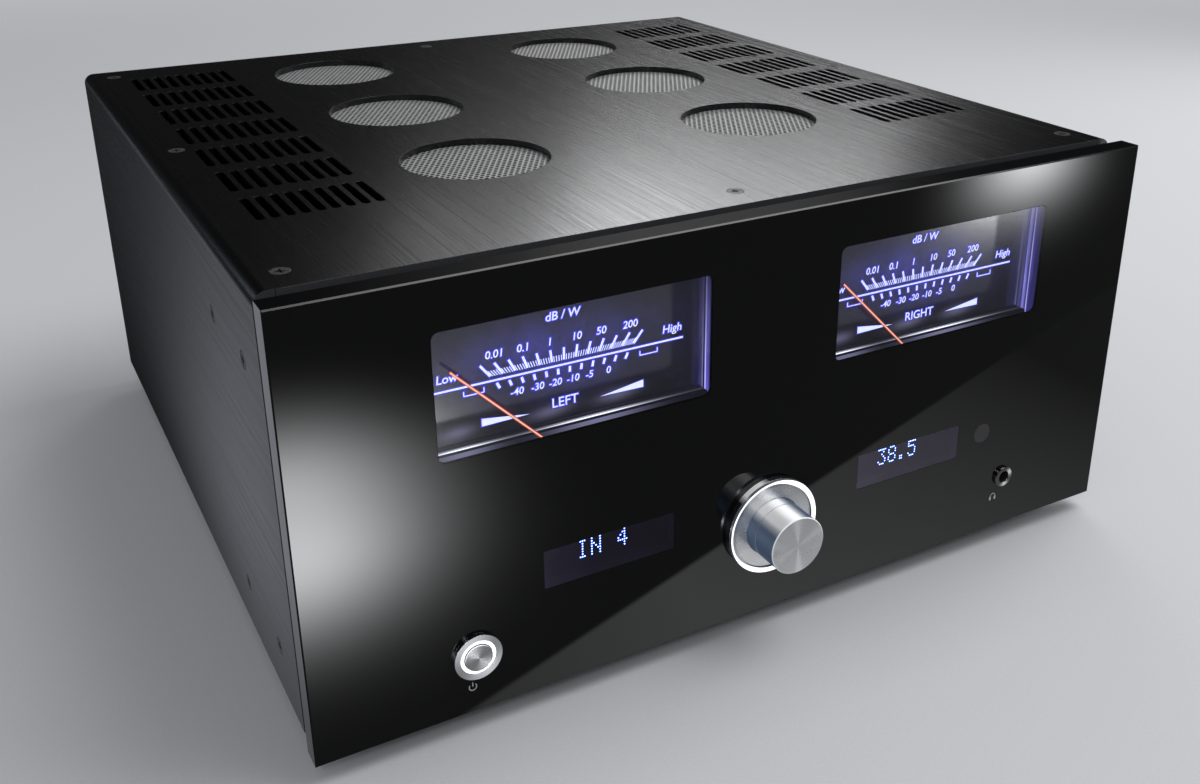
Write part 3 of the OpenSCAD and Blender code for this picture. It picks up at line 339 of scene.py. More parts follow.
def turned(name, color, rough, rings=104.0, aniso=0.8, edge=0.12, bump=0.18, walls=None, painted_rays=None):
    """Metal turned on a lathe about an axis along y: rings on the face, lines around the side. Optional
    painted highlight rays on the face, and painted reflection, highlight and shade on the walls.
    """
    mat, g, bsdf = start(name, color)
    x, y, z = g.xyz(g.place("Generated"))
    r = g.about(x, z, 0.5, 0.5)[2]
    line = g.add("CombineXYZ", X=g.times(r, rings), Y=g.times(y, rings), Z=0.0).outputs[0]
    flat = {"noise_dimensions": "2D"}
    groove = g.add("TexNoise", flat, Vector=line, Scale=1.0, Detail=4.0, Roughness=0.7).outputs[0]
    out = g.mix(g.vary(groove), rgba(color, 0.82), rgba(color, 1.12))
    gloss = g.vary(g.noise(160.0, 3.0, 0.5), rough - 0.04, rough + 0.05)
    metal = 1.0
    # Painted highlights: bright rays multiplied into the colour of the face
    if painted_rays:
        px, _, pz = g.xyz(g.surface("Position"))
        angle = g.math("ARCTAN2", g.minus(pz, painted_rays.z * MM), g.minus(px, painted_rays.x * MM))
        light = painted_rays.base
        for turn, sharp, strength in painted_rays.lobes:
            lobe = g.absolute(g.math("COSINE", g.minus(angle, math.radians(turn))))
            light = g.plus(g.times(g.math("POWER", lobe, sharp), strength), light)
        out = g.mix(1.0, out, light, "MULTIPLY")
    # Painted light: the walls' colour follows the way they face, turned towards the light's angle
    if walls:
        way = g.surface("True Normal")
        turn = math.radians(walls.angle)
        lit = g.dot(way, (math.cos(turn), 0.0, math.sin(turn)))
        face = g.front()
        out = g.mix(face, g.ramp(g.span(lit, -1.0, 1.0), walls.stops), out)
        gloss = g.mix_value(face, walls.gloss, gloss)
        metal = g.span(face, 0.0, 1.0, walls.metal, walls.face_metal)
        # Painted highlight: the rim's bevel is a bright grey instead of metal
        if walls.rim:
            bevel = g.span(g.absolute(g.plus(g.xyz(way)[1], DIAGONAL)), 0.1, 0.2, 1.0, 0.0)
            out = g.mix(bevel, out, rgba((walls.rim,) * 3))
            metal = g.times(metal, g.minus(1.0, bevel))
    g.put(bsdf, Base_Color=out, Roughness=gloss, Metallic=metal, Anisotropic=aniso, Anisotropic_Rotation=0.25)
    g.put(bsdf, Tangent=g.add("Tangent", {"direction_type": "RADIAL", "axis": "Y"}).outputs[0])
    normal(g, bsdf, groove, bump, 0.00002, edge)
    return mat


def lens_clear():
    """Clear acrylic with blackened edges."""
    color = (0.97, 0.975, 0.99)
    mat, g, bsdf = start("lens_clear", color)
    clear = g.pane()
    g.put(bsdf, Base_Color=g.mix(clear, rgba(EDGE_BLACK), rgba(color)), Transmission_Weight=clear)
    g.put(bsdf, Specular_IOR_Level=g.span(clear, 0.0, 1.0, 0.0, 0.5), IOR=ACRYLIC_IOR)
    g.put(bsdf, Roughness=g.vary(g.noise(30.0), 0.0, 0.012))
    return mat


def lit_housing(name, low, high, stops):
    """Black moulding whose end walls glow in upright streaks of painted lamp light; stops run from the lens
    to the dial, and low and high are the strengths at the foot and the head of the meter."""
    mat, g, bsdf = start(name)
    _, y, z = g.xyz()
    streak = g.ramp(g.span(y, PANEL_BACK * MM, DIAL * MM), stops)
    fade = g.span(z, (METER_Z - LIT_H / 2) * MM, (METER_Z + LIT_H / 2) * MM, low, high)
    fade = g.times(fade, g.vary(g.noise((1.0, 900.0, 40.0), 3.0, 0.6), 0.55, 1.3))
    sideways = g.math("GREATER_THAN", g.absolute(g.facing()[0]), 0.7)
    wall = g.times(sideways, g.math("LESS_THAN", y, DIAL * MM))
    fine = g.noise(1800.0)
    tone = g.mix(fine, rgba((0.009, 0.009, 0.012)), rgba((0.015, 0.015, 0.02)))
    # Painted light: the streaks glow on the end walls in front of the dial
    lit = g.mix(wall, BLACK, g.mix(1.0, streak, fade, "MULTIPLY"))
    g.put(bsdf, Base_Color=tone, Roughness=0.5, Emission_Color=lit, Emission_Strength=1.0)
    normal(g, bsdf, fine, 0.3, 0.00003)
    mat.cycles.emission_sampling = "NONE"
    return mat


# Spots of painted light on a dial, from its middle, in metres: centre, size, angle and height
DIAL_BLOOM = (((-0.004, 0.003), (0.038, 0.011), 0.0, 0.75), ((0.002, -0.0115), (0.03, 0.008), 0.0, 0.35))
DIAL_FOOT = tuple((centre, (wide, 0.0026), 0.05, 0.16) for centre, wide in (
    ((-0.047, -0.025), 0.007), ((-0.006, -0.0254), 0.009), ((0.025, -0.0252), 0.009)))
LEDGE_LIGHT = (((-0.046, 0.0), (0.013, 1.0), 0.0, 0.9), ((0.014, 0.0), (0.021, 1.0), 0.0, 1.0))


def dial_dark(name, x):
    """A dark glossy dial with a painted glow as the bloom of its lit scale, and the ledge below it
    with two edges painted lit.
    """
    mat, g, bsdf = start(name)
    flat = g.add("Mapping", {"vector_type": "TEXTURE"}, Vector=g.place(), Rotation=(math.pi / 2, 0.0, 0.0),
                 Location=(x * MM, DIAL * MM, METER_Z * MM)).outputs[0]
    y = g.xyz()[1]

    def spots(table):
        return g.plus(*(g.spot(*row, where=flat) for row in table))

    cloud = g.span(g.noise((60.0, 38.0, 1.0), 3.0, 0.6, flat), 0.35, 0.68, 0.35, 1.2)
    # Painted glow: spots of light on the dial and along the ledge's edges
    tint = g.mix(g.times(spots(DIAL_BLOOM), cloud), rgba((0.009, 0.009, 0.014)), rgba((0.045, 0.04, 0.28)))
    lit = g.mix(1.0, tint, g.mix(spots(DIAL_FOOT), BLACK, rgba((0.62, 0.6, 1.0))), "ADD")
    along = spots(LEDGE_LIGHT)
    shelf = g.math("LESS_THAN", y, (DIAL - 0.05) * MM)
    inner = g.span(y, (DIAL - 1.3) * MM, (DIAL - 0.8) * MM, smooth=True)
    outer = g.span(y, (LEDGE + 0.2) * MM, (LEDGE + 0.55) * MM, 1.0, 0.0, True)
    top = g.mix(g.times(inner, g.plus(along, 0.025)), rgba((0.008, 0.0075, 0.013)), rgba((1.5, 1.55, 1.8)))
    top = g.mix(g.times(outer, along, 0.5), top, rgba((0.36, 0.36, 0.6)))
    grain = g.vary(g.noise(1500.0))
    g.put(bsdf, Specular_IOR_Level=g.span(shelf, 0.0, 1.0, 0.5, 0.0), IOR=3.3)
    g.put(bsdf, Base_Color=g.mix(grain, rgba((0.014, 0.014, 0.02)), rgba((0.024, 0.024, 0.034))))
    g.put(bsdf, Roughness=g.span(cloud, 0.0, 1.0, 0.1, 0.16))
    g.put(bsdf, Emission_Color=g.mix(shelf, lit, top), Emission_Strength=1.0)
    mat.cycles.emission_sampling = "NONE"
    return mat


def needle_red(name, x):
    """A red needle that leans left, with a painted glow: pale in the middle, red at its edges, dark at its hub."""
    mat, g, bsdf = start(name, (0.7, 0.06, 0.04))
    px, _, pz = g.xyz()
    dx, dz = g.minus(px, x * MM), g.minus(pz, PIVOT_Z * MM)
    across = g.absolute(g.times(g.plus(dx, dz), DIAGONAL))
    along = g.times(g.minus(dz, dx), DIAGONAL)
    # Painted glow: pale in the middle of the needle and red at its edges, on its front beyond the hub
    core = g.ramp(g.span(across, 0.0, 0.6 * MM), [
        (0.0, (1.0, 0.9, 0.78)), (0.3, (1.0, 0.66, 0.46)),
        (0.52, (0.95, 0.17, 0.08)), (1.0, (0.45, 0.015, 0.01))])
    grain = g.vary(g.noise(900.0), 0.85, 1.1)
    beyond_hub = g.span(along, 4.0 * MM, 9.0 * MM, smooth=True)
    shine = g.times(beyond_hub, grain, g.span(g.facing()[1], -0.6, -0.3, 1.0, 0.0))
    g.put(bsdf, Base_Color=g.mix(grain, rgba((0.16, 0.008, 0.006)), rgba((0.24, 0.016, 0.01))), Roughness=0.4)
    g.put(bsdf, Emission_Color=g.mix(shine, (0.01, 0.0, 0.0, 1.0), core), Emission_Strength=0.95)
    mat.cycles.emission_sampling = "NONE"
    return mat


# Painted shade that dims the inner edge of a lit ring towards the upper left: the ring's axis,
# inner radius and the edge's width
Shade = namedtuple("Shade", "x z radius width")


def front_glow(name, color, strength, shade=None):
    """A lit front on a ring whose walls are bright metal, with an optional painted shade on its inner edge."""
    mat, g, bsdf = start(name)
    front = g.front()
    # Painted shade: the lit front narrows on its inner edge towards the upper left
    if shade:
        px, _, pz = g.xyz(g.surface("Position"))
        dx, dz, r = g.about(px, pz, shade.x * MM, shade.z * MM)
        upper_left = math.radians(150.0)
        turn = g.math("DIVIDE", g.weigh((dz, math.sin(upper_left)), (dx, math.cos(upper_left))), r)
        inner = g.span(turn, -0.1, 0.8, shade.radius * MM, (shade.radius + shade.width) * MM, True)
        front = g.times(front, g.span(g.minus(r, inner), -0.1 * MM, 0.15 * MM))
    uneven = g.vary(g.noise(600.0, 3.0, 0.5), 0.95, 1.05)
    g.put(bsdf, Base_Color=g.mix(front, rgba((0.6, 0.62, 0.66)), rgba(color, 0.85)), Roughness=0.2)
    g.put(bsdf, Metallic=g.span(front, 0.0, 1.0, 0.8, 0.0), Emission_Color=rgba(color))
    g.put(bsdf, Emission_Strength=g.times(front, uneven, strength))
    return mat


def glow(name, color, strength, speckle=0.1, scale=600.0):
    """An even light with a faint speckle."""
    mat, g, bsdf = start(name)
    uneven = g.vary(g.noise(scale, 3.0, 0.5), 1.0 - speckle, 1.0 + speckle)
    g.put(bsdf, Base_Color=rgba(color, 0.8), Roughness=0.35, Emission_Color=rgba(color))
    g.put(bsdf, Emission_Color=g.mix(1.0, rgba(color), uneven, "MULTIPLY"), Emission_Strength=strength)
    return mat


def smoked(name, color, lit):
    """Smoked acrylic with a faint painted glow for the light behind it, stronger towards the right."""
    mat, g, bsdf = start(name, color)
    # Painted glow: a faint light on the window, uneven and stronger towards the right
    cloud = g.mix(g.vary(g.noise(60.0)), rgba(lit, 0.85), rgba(lit, 1.15))
    along = g.span(g.xyz()[0], -0.12, 0.12)
    uneven = g.ramp(along, [(at, (level,) * 3) for at, level in (
        (0.03, 1.0), (0.12, 0.5), (0.29, 0.35), (0.7, 1.5), (0.82, 1.1), (0.97, 0.95))])
    tone = g.mix(g.vary(g.noise(80.0)), rgba(color, 0.92), rgba(color, 1.08))
    clear = g.pane()
    g.put(bsdf, Emission_Color=g.mix(1.0, cloud, uneven, "MULTIPLY"), Emission_Strength=1.0)
    g.put(bsdf, Base_Color=g.mix(clear, rgba(EDGE_BLACK), tone), Transmission_Weight=clear, IOR=ACRYLIC_IOR)
    g.put(bsdf, Specular_IOR_Level=g.span(clear, 0.0, 1.0, 0.0, 0.5))
    g.put(bsdf, Roughness=g.vary(g.noise(25.0), 0.015, 0.03))
    mat.cycles.emission_sampling = "NONE"
    return mat


def perforated():
    """Bare sheet steel for the vents: bright on top, and dark with painted shade in the punched holes."""
    mat, g, bsdf = start("mesh_steel")
    fine = g.noise((1400.0, 60.0, 1400.0))
    top = g.mix(g.vary(fine), rgba((0.2, 0.202, 0.2)), rgba((0.31, 0.313, 0.31)))
    # Painted shade: the walls of the holes are much darker than the top
    tone = g.mix(g.span(g.facing()[2], 0.2, 0.8), rgba((0.03, 0.03, 0.032)), top)
    g.put(bsdf, Base_Color=tone, Metallic=0.2, Specular_IOR_Level=0.2, Roughness=g.vary(fine, 0.35, 0.5))
    normal(g, bsdf, fine, 0.2, 0.00002)
    return mat


def board(name, color):
    """A printed circuit board: traces, pads and solder mask."""
    mat, g, bsdf = start(name, color)
    place = g.place()
    square = {"feature": "DISTANCE_TO_EDGE", "distance": "CHEBYCHEV"}
    cells = g.add("TexVoronoi", square, Vector=place, Scale=260.0).outputs[0]
    spots = g.add("TexVoronoi", {"feature": "F1"}, Vector=place, Scale=170.0).outputs[0]
    trace = g.span(cells, 0.03, 0.06, 1.0, 0.0)
    pad = g.span(spots, 0.16, 0.2, 1.0, 0.0)
    tone = g.mix(trace, rgba(color), rgba(color, 2.0))
    g.put(bsdf, Base_Color=g.mix(pad, tone, rgba((0.5, 0.48, 0.42))), Metallic=pad)
    g.put(bsdf, Roughness=g.vary(g.noise(300.0), 0.28, 0.42))
    normal(g, bsdf, trace, 0.3, 0.00004)
    return mat


def wound():
    """The ring transformer: copper-brown tape laid in overlapping turns around the ring."""
    turns, lean = 46.0, 14.0
    mat, g, bsdf = start("winding_copper", (0.3, 0.16, 0.05))
    centre = tuple(c * MM for c in middle(corners("transformer")))
    local = g.add("VectorMath", {"operation": "SUBTRACT"}, _0=g.place(), _1=centre).outputs[0]
    x, y, z = g.xyz(local)
    turn = g.times(g.math("ARCTAN2", y, x), turns / math.tau)
    saw = g.math("FRACT", g.plus(turn, g.times(z, lean)))
    grain = g.noise(500.0)
    tone = g.mix(saw, rgba((0.2, 0.1, 0.03)), rgba((0.42, 0.22, 0.07)))
    g.put(bsdf, Base_Color=g.mix(g.span(grain, 0.4, 0.7, 0.0, 0.35), tone, rgba((0.5, 0.3, 0.12))))
    g.put(bsdf, Roughness=g.vary(grain, 0.25, 0.4))
    normal(g, bsdf, saw, 0.6, 0.0006)
    return mat


def jack_metal():
    """Chrome at the ring of the headphone socket, with two painted glints, and black plastic in and behind it."""
    ring_depth, ring_r, glints = 0.4, 3.3, (-78.0, 28.0)
    mat, g, bsdf = start("jack_trim")
    x, y, z = g.xyz()
    dx, dz, r = g.about(x, z, JACK_X * MM, JACK_Z * MM)
    ring = g.times(g.math("LESS_THAN", y, (FACE + ring_depth) * MM), g.math("GREATER_THAN", r, ring_r * MM))
    fine = g.noise(1500.0)
    angle = g.math("ARCTAN2", dz, dx)
    # Painted glints: two bright spots on the chrome ring
    spots = 0.0
    for turn in glints:
        lobe = g.math("MAXIMUM", g.math("COSINE", g.minus(angle, math.radians(turn))), 0.0)
        spots = g.plus(g.math("POWER", lobe, 9.0), spots)
    bright = g.plus(spots, g.vary(fine, -0.02, 0.02))
    shiny = g.mix(bright, rgba((0.12, 0.12, 0.125)), rgba((0.95, 0.95, 0.96)))
    g.put(bsdf, Base_Color=g.mix(ring, rgba((0.012, 0.012, 0.012)), shiny))
    g.put(bsdf, Metallic=g.minus(ring, g.times(ring, spots, 0.5)), Roughness=g.mix_value(ring, 0.5, 0.07))
    normal(g, bsdf, fine, 0.05, 0.00002, 1.1)
    return mat


# Thin printed or lit marks
class Plates:
    """Flat marks drawn on an upright wall, made into one closed mesh of thin plates.
    The wall faces the front, or the back with back=True; depth is the wall's y."""

    DISC_SIDES, ARC_STEPS = 10, 24
    # A letter's height in a text of size 1, and how much bolder than the font the letters are
    CAPITAL, BOLD = 0.7, 0.035

    def __init__(self, depth, thick, back=False):
        self.bm = bmesh.new()
        self.depth, self.thick, self.sign = depth, thick, (1 if back else -1)

    def at(self, u, v, lift):
        """A point u to the reader's right, v up and lift off the wall."""
        x = -u if self.sign > 0 else u
        return (x * MM, (self.depth + self.sign * lift) * MM, v * MM)

    def poly(self, points):
        area = sum(a[0] * b[1] - b[0] * a[1] for a, b in zip(points, points[1:] + points[:1]))
        if area < 0:
            points = points[::-1]
        top = [self.bm.verts.new(self.at(u, v, self.thick)) for u, v in points]
        low = [self.bm.verts.new(self.at(u, v, 0.0)) for u, v in points]
        self.bm.faces.new(top)
        self.bm.faces.new(low[::-1])
        for i in range(len(points)):
            j = (i + 1) % len(points)
            self.bm.faces.new((top[i], low[i], low[j], top[j]))

    def stroke(self, a, b, width, grow=0.0):
        d = Vector((b[0] - a[0], b[1] - a[1])).normalized()
        n = Vector((-d.y, d.x)) * (width / 2 + grow)
        a, b = Vector(a) - d * grow, Vector(b) + d * grow
        self.poly([tuple(a - n), tuple(b - n), tuple(b + n), tuple(a + n)])

    def disc(self, u, v, r):
        turns = [math.tau * i / self.DISC_SIDES for i in range(self.DISC_SIDES)]
        self.poly([(u + r * math.cos(t), v + r * math.sin(t)) for t in turns])

    def arc(self, u, v, r, width, first, last):
        steps = self.ARC_STEPS
        angles = [math.radians(first + (last - first) * i / steps) for i in range(steps + 1)]
        inner, outer = r - width / 2, r + width / 2
        for p, q in zip(angles, angles[1:]):
            ends = ((inner, p), (outer, p), (outer, q), (inner, q))
            self.poly([(u + k * math.cos(t), v + k * math.sin(t)) for k, t in ends])

    def text(self, body, u, v, height, shear=0.0, grow=0.0):
        curve = bpy.data.curves.new("words", "FONT")
        curve.body, curve.size, curve.shear = body, height / self.CAPITAL, shear
        curve.offset = grow + self.BOLD
        curve.align_x, curve.align_y = "CENTER", "CENTER"
        curve.extrude = self.thick / 2
        curve.resolution_u = 4
        holder = bpy.data.objects.new("words", curve)
        bpy.context.scene.collection.objects.link(holder)
        mesh = bpy.data.meshes.new_from_object(holder.evaluated_get(bpy.context.evaluated_depsgraph_get()))
        for vert in mesh.vertices:
            vert.co = self.at(u + vert.co.x, v + vert.co.y, vert.co.z + self.thick / 2)
        self.bm.from_mesh(mesh)
        bpy.data.objects.remove(holder)
        bpy.data.meshes.remove(mesh)
        bpy.data.curves.remove(curve)

    def make(self, name, material):
        bmesh.ops.remove_doubles(self.bm, verts=self.bm.verts, dist=1e-7)
        bmesh.ops.recalc_face_normals(self.bm, faces=self.bm.faces)
        mesh = bpy.data.meshes.new(name)
        self.bm.to_mesh(mesh)
        self.bm.free()
        mesh.materials.append(material)
        obj = bpy.data.objects.new(name, mesh)
        bpy.context.scene.collection.objects.link(obj)
        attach(obj, "chassis")


# Words on a dial, each with its place from the dial's middle and its height
DIAL_WORDS = (("dB / W", 0.4, 16.3, 3.7), ("Low", -50.2, -0.6, 3.6), ("High", 51.6, -0.6, 3.6))
CHANNEL_PLACE, CHANNEL_H = (0.6, -22.4), 4.2
# Numbers and their places across, with the height of their row above the middle and the height of the digits
POWER_NUMBERS = (("0.01", -29.8), ("0.1", -17.4), ("1", -5.6), ("10", 6.5), ("50", 17.8), ("200", 31.4))
POWER_ROW = (5.5, 3.3)
LEVEL_NUMBERS = (("-40", -20.7), ("-30", -11.6), ("-20", -3.6), ("-10", 4.4), ("-5", 12.0), ("0", 20.9))
LEVEL_ROW = (-13.0, 3.1)
# The line under the upper scale: its ends, its height and its width
BASE_ENDS, BASE_V, BASE_WIDTH = (-56.0, 57.0), -5.7, 0.75
# Ticks: how many steps a scale has, and from where to where the ticks run up or down, with their width
LONG_STEPS, SHORT_STEPS, LOWER_STEPS = 12, 5, 11
LONG_V, LONG_WIDTH = (-3.5, 1.8), 0.95
SHORT_V, SHORT_WIDTH, SHORT_GROW = (-3.7, -1.2), 0.34, 0.3
LOWER_V, LOWER_WIDTH = (-7.1, -9.6), 1.05
# Start and length of the rows of tick ends, and the first lean and its change along the lower row
UPPER_FEET, UPPER_TIPS = (-31.9, 64.9), (-36.0, 73.3)
LOWER_HEADS, LOWER_LEAN = (-29.2, 59.4), (1.178, -2.356)
# Marks at the ends of the lower scale: left and right edge of each, their heights and their width
END_MARKS, END_V, END_WIDTH = ((-43.4, -34.8), (36.0, 44.4)), (-7.7, -9.7), 0.4
# Wedges beside the channel's name: side, broad end and point of each, and the heights of their corners
WEDGES, WEDGE_V = ((-1, -36.5, -15.7), (1, 37.6, 17.1)), (-21.3, -24.7, -24.3)


def dial_marks(plates, x, side, grow):
    """The scale of one meter: title, long and short ticks, numbers above and below, end marks and wedges."""
    z = METER_Z

    def put(body, u, v, height, shear=0.12):
        plates.text(body, x + u, z + v, height, shear, grow)

    def line(us, vs, width, spread=grow):
        """A stroke from the first to the last of two places across and two heights."""
        plates.stroke((x + us[0], z + vs[0]), (x + us[1], z + vs[1]), width, spread)

    def along(row, share):
        first, length = row
        return first + length * share

    line(BASE_ENDS, (BASE_V, BASE_V), BASE_WIDTH)
    for i in range(LONG_STEPS * SHORT_STEPS + 1):
        share = i / (LONG_STEPS * SHORT_STEPS)
        foot, tip = along(UPPER_FEET, share), along(UPPER_TIPS, share)
        if i % SHORT_STEPS:
            line((foot, (foot + tip) / 2), SHORT_V, SHORT_WIDTH, grow * SHORT_GROW)
        else:
            line((foot, tip), LONG_V, LONG_WIDTH)
    for i in range(LOWER_STEPS + 1):
        head = along(LOWER_HEADS, i / LOWER_STEPS)
        line((head, head + along(LOWER_LEAN, i / LOWER_STEPS)), LOWER_V, LOWER_WIDTH)
    for word in DIAL_WORDS:
        put(*word)
    for numbers, row in ((POWER_NUMBERS, POWER_ROW), (LEVEL_NUMBERS, LEVEL_ROW)):
        for body, u in numbers:
            put(body, u, *row)
    put(side, *CHANNEL_PLACE, CHANNEL_H, 0.0)
    for left, right in END_MARKS:
        top, foot = END_V
        line((left, left), (top, foot), END_WIDTH)
        line((left, right), (foot, foot), END_WIDTH)
        line((right, right), (foot, top), END_WIDTH)
    for way, broad, point in WEDGES:
        edge = grow * way
        heel = x + broad + edge
        upper, lower, middle_v = (z + v for v in WEDGE_V)
        tip = (x + point - 2 * edge, middle_v - grow * 0.3)
        plates.poly([(heel, upper + grow), (heel, lower - grow), tip])


# Letters of the displays, as rows of dots
FONT = {
    "I": "01110 00100 00100 00100 00100 00100 01110", "N": "10001 10001 11001 10101 10011 10001 10001",
    "3": "11111 00010 00100 00010 00001 10001 01110", "4": "00010 00110 01010 10010 11111 00010 00010",
    "5": "11111 10000 11110 00001 00001 10001 01110", "8": "01110 10001 10001 01110 10001 10001 01110",
    ".": "00000 00000 00000 00000 00000 01100 01100", " ": "00000 00000 00000 00000 00000 00000 00000",
}
DOT_STEP, ROW_STEP = 1.0, 1.3
# Name, letters, place of the first dot and step from letter to letter
DISPLAYS = (("left", "IN 4", -94.4, 72.7, 6.45), ("right", "38.5", 67.9, 72.9, 6.2))


def dots(plates, body, u, v, step, r):
    for i, letter in enumerate(body):
        for row, bits in enumerate(FONT[letter].split()):
            for col, bit in enumerate(bits):
                if bit == "1":
                    plates.disc(u + step * i + DOT_STEP * col, v - ROW_STEP * row, r)


def power_sign(plates, u, v):
    plates.arc(u, v, 1.65, 0.42, 138, 402)
    plates.stroke((u, v + 0.2), (u, v + 2.3), 0.42)


def headphone_sign(plates, u, v):
    plates.arc(u, v, 1.7, 0.38, -10, 190)
    for s in (-1, 1):
        plates.stroke((u + s * 1.6, v + 0.1), (u + s * 1.6, v - 1.9), 1.15)


# Vents
def perforated_disc(material):
    """One disc of perforated sheet: six-sided cells, each with a round hole and a rolled-over rim."""
    pitch, hole, rim, reach, sides, merge = 3.0, 1.05, 0.13, 37.1, 12, 0.005
    row_step = pitch * math.sqrt(0.75)
    turns = [math.tau * k / sides for k in range(sides)]

    def around(radii):
        return [(r * math.cos(t), r * math.sin(t)) for r, t in zip(radii, turns)]

    def ring(r):
        return around([r] * sides)

    def key(*place):
        return tuple(round(c / merge) for c in place)

    def under(vert):
        return key(vert.co.x / MM, vert.co.y / MM)

    hexagon = around([pitch / math.sqrt(3) if k % 2 else pitch / 2 for k in range(sides)])
    profile = ((MESH_LOW, hexagon), (MESH_LOW, ring(hole)), (MESH_TOP - rim, ring(hole)),
               (MESH_TOP - rim * 0.3, ring(hole + rim * 0.5)), (MESH_TOP, ring(hole + rim * 1.2)),
               (MESH_TOP, hexagon))
    bm = bmesh.new()
    shared = {}

    def corner(x, y, z, outer):
        """A new vertex, or on the outline of a cell the one that its neighbour made."""
        if not outer:
            return bm.verts.new((x * MM, y * MM, z * MM))
        spot = key(x, y, z)
        if spot not in shared:
            shared[spot] = bm.verts.new((x * MM, y * MM, z * MM))
        return shared[spot]

    rows, columns = int(reach / row_step) + 1, int(reach / pitch) + 1
    for j in range(-rows, rows + 1):
        for i in range(-columns, columns + 1):
            cx, cy = pitch * (i + 0.5 * (j % 2)), row_step * j
            if math.hypot(cx, cy) > reach:
                continue
            loops = [[corner(cx + a, cy + b, z, shape is hexagon) for a, b in shape] for z, shape in profile]
            for low, high in zip(loops, loops[1:]):
                for k in range(sides):
                    m = (k + 1) % sides
                    bm.faces.new((low[k], low[m], high[m], high[k]))

    # The wall around the disc joins the open edges of its top to those of its underside
    open_edges = [e for e in bm.edges if len(e.link_faces) == 1]
    half = (MESH_LOW + MESH_TOP) / 2 * MM
    lower = {under(v): v for e in open_edges for v in e.verts if v.co.z < half}
    for a, b in [e.verts for e in open_edges if e.verts[0].co.z > half]:
        if under(a) in lower and under(b) in lower:
            bm.faces.new((a, b, lower[under(b)], lower[under(a)]))
    bmesh.ops.recalc_face_normals(bm, faces=bm.faces)
    mesh = bpy.data.meshes.new("vent_mesh")
    bm.to_mesh(mesh)
    bm.free()
    mesh.materials.append(material)
    return mesh


def vents(material):
    mesh = perforated_disc(material)
    for count, (x, y, _) in enumerate(VENTS, 1):
        obj = bpy.data.objects.new(f"vent_mesh_{count}", mesh)
        bpy.context.scene.collection.objects.link(obj)
        obj.location = (x * MM, y * MM, 0.0)
        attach(obj, "chassis")
        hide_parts("vent_meshes")


# Studio, in metres
BACKDROP = (0.93, 0.95, 1.0, 1.0)
BACKDROP_LEVEL, GLOSSY_LEVEL = 0.55, 0.018
FLOOR_HALF = 8.0
# Pools of light that a polished surface sees in the floor: centre, size, angle and height
POOLS = (((-0.1816, -0.3653), (0.056, 0.0445), -0.55, 7.5), ((-0.1712, -0.4382), (0.082, 0.065), -1.29, 10.3),
         ((0.714, -0.751), (0.162, 0.042), -0.66, 12.5))
# Name, place, aim, width and height, watts and colour of each lamp
LAMPS = (
    ("overhead", (0.8, -0.4, 1.7), (0.0, -0.2, 0.1), (1.4, 1.3), 28.0, (1.0, 1.0, 1.0)),
    ("sheen", (1.2, 1.72, 1.2), (0.0, -0.1, 0.2), (0.75, 0.45), 6.3, (1.0, 1.0, 1.0)),
    ("sheen_side", (0.86, 1.9, 1.2), (0.0, -0.1, 0.2), (0.7, 0.45), 1.4, (1.0, 1.0, 1.0)),
    ("left", (-1.1, 1.2, 0.6), (-0.2, -0.15, 0.12), (0.5, 0.5), 1.5, (0.8, 0.9, 1.0)),
    ("right", (1.5, 0.15, 0.5), (0.2, 0.05, 0.1), (0.55, 0.55), 3.0, (1.0, 1.0, 1.0)),
    ("front", (-0.75, -1.25, 1.15), (0.0, -0.2, 0.08), (0.3, 0.3), 4.0, (1.0, 1.0, 1.0)),
)


def seen_ahead(g, place, x):
    """What the front panel sees in the floor: a dark studio, a lit strip close by and pools of light."""
    dark, strip_way, strip_edge = 0.085, (0.3185, 0.9479, 0.0), (-0.2655, -0.2615)
    left, peak, right, peak_level = -0.2, -0.02, 0.34, 0.72
    rise = g.span(x, left, peak, 0.3, peak_level)
    fall = g.span(x, peak, right, peak_level, 0.02)
    strip = g.times(g.span(g.dot(place, strip_way), *strip_edge, smooth=True), g.math("MINIMUM", rise, fall))
    return g.plus(dark, strip, *(g.spot(*pool, where=place) for pool in POOLS))


def seen_beside(g, x, y):
    """What the side panels see in the floor: a slanting band of light on the dark."""
    dark, slope, offset, width = 0.02, 4.5, 1.134, 0.17
    away = g.absolute(x)
    slant = g.plus(g.times(away, -slope), g.plus(y, offset))
    band = g.math("EXPONENT", g.times(slant, slant, -1.0 / width ** 2))
    return g.plus(g.times(band, g.span(away, 0.222, 0.246, 0.17, 0.41)), dark)


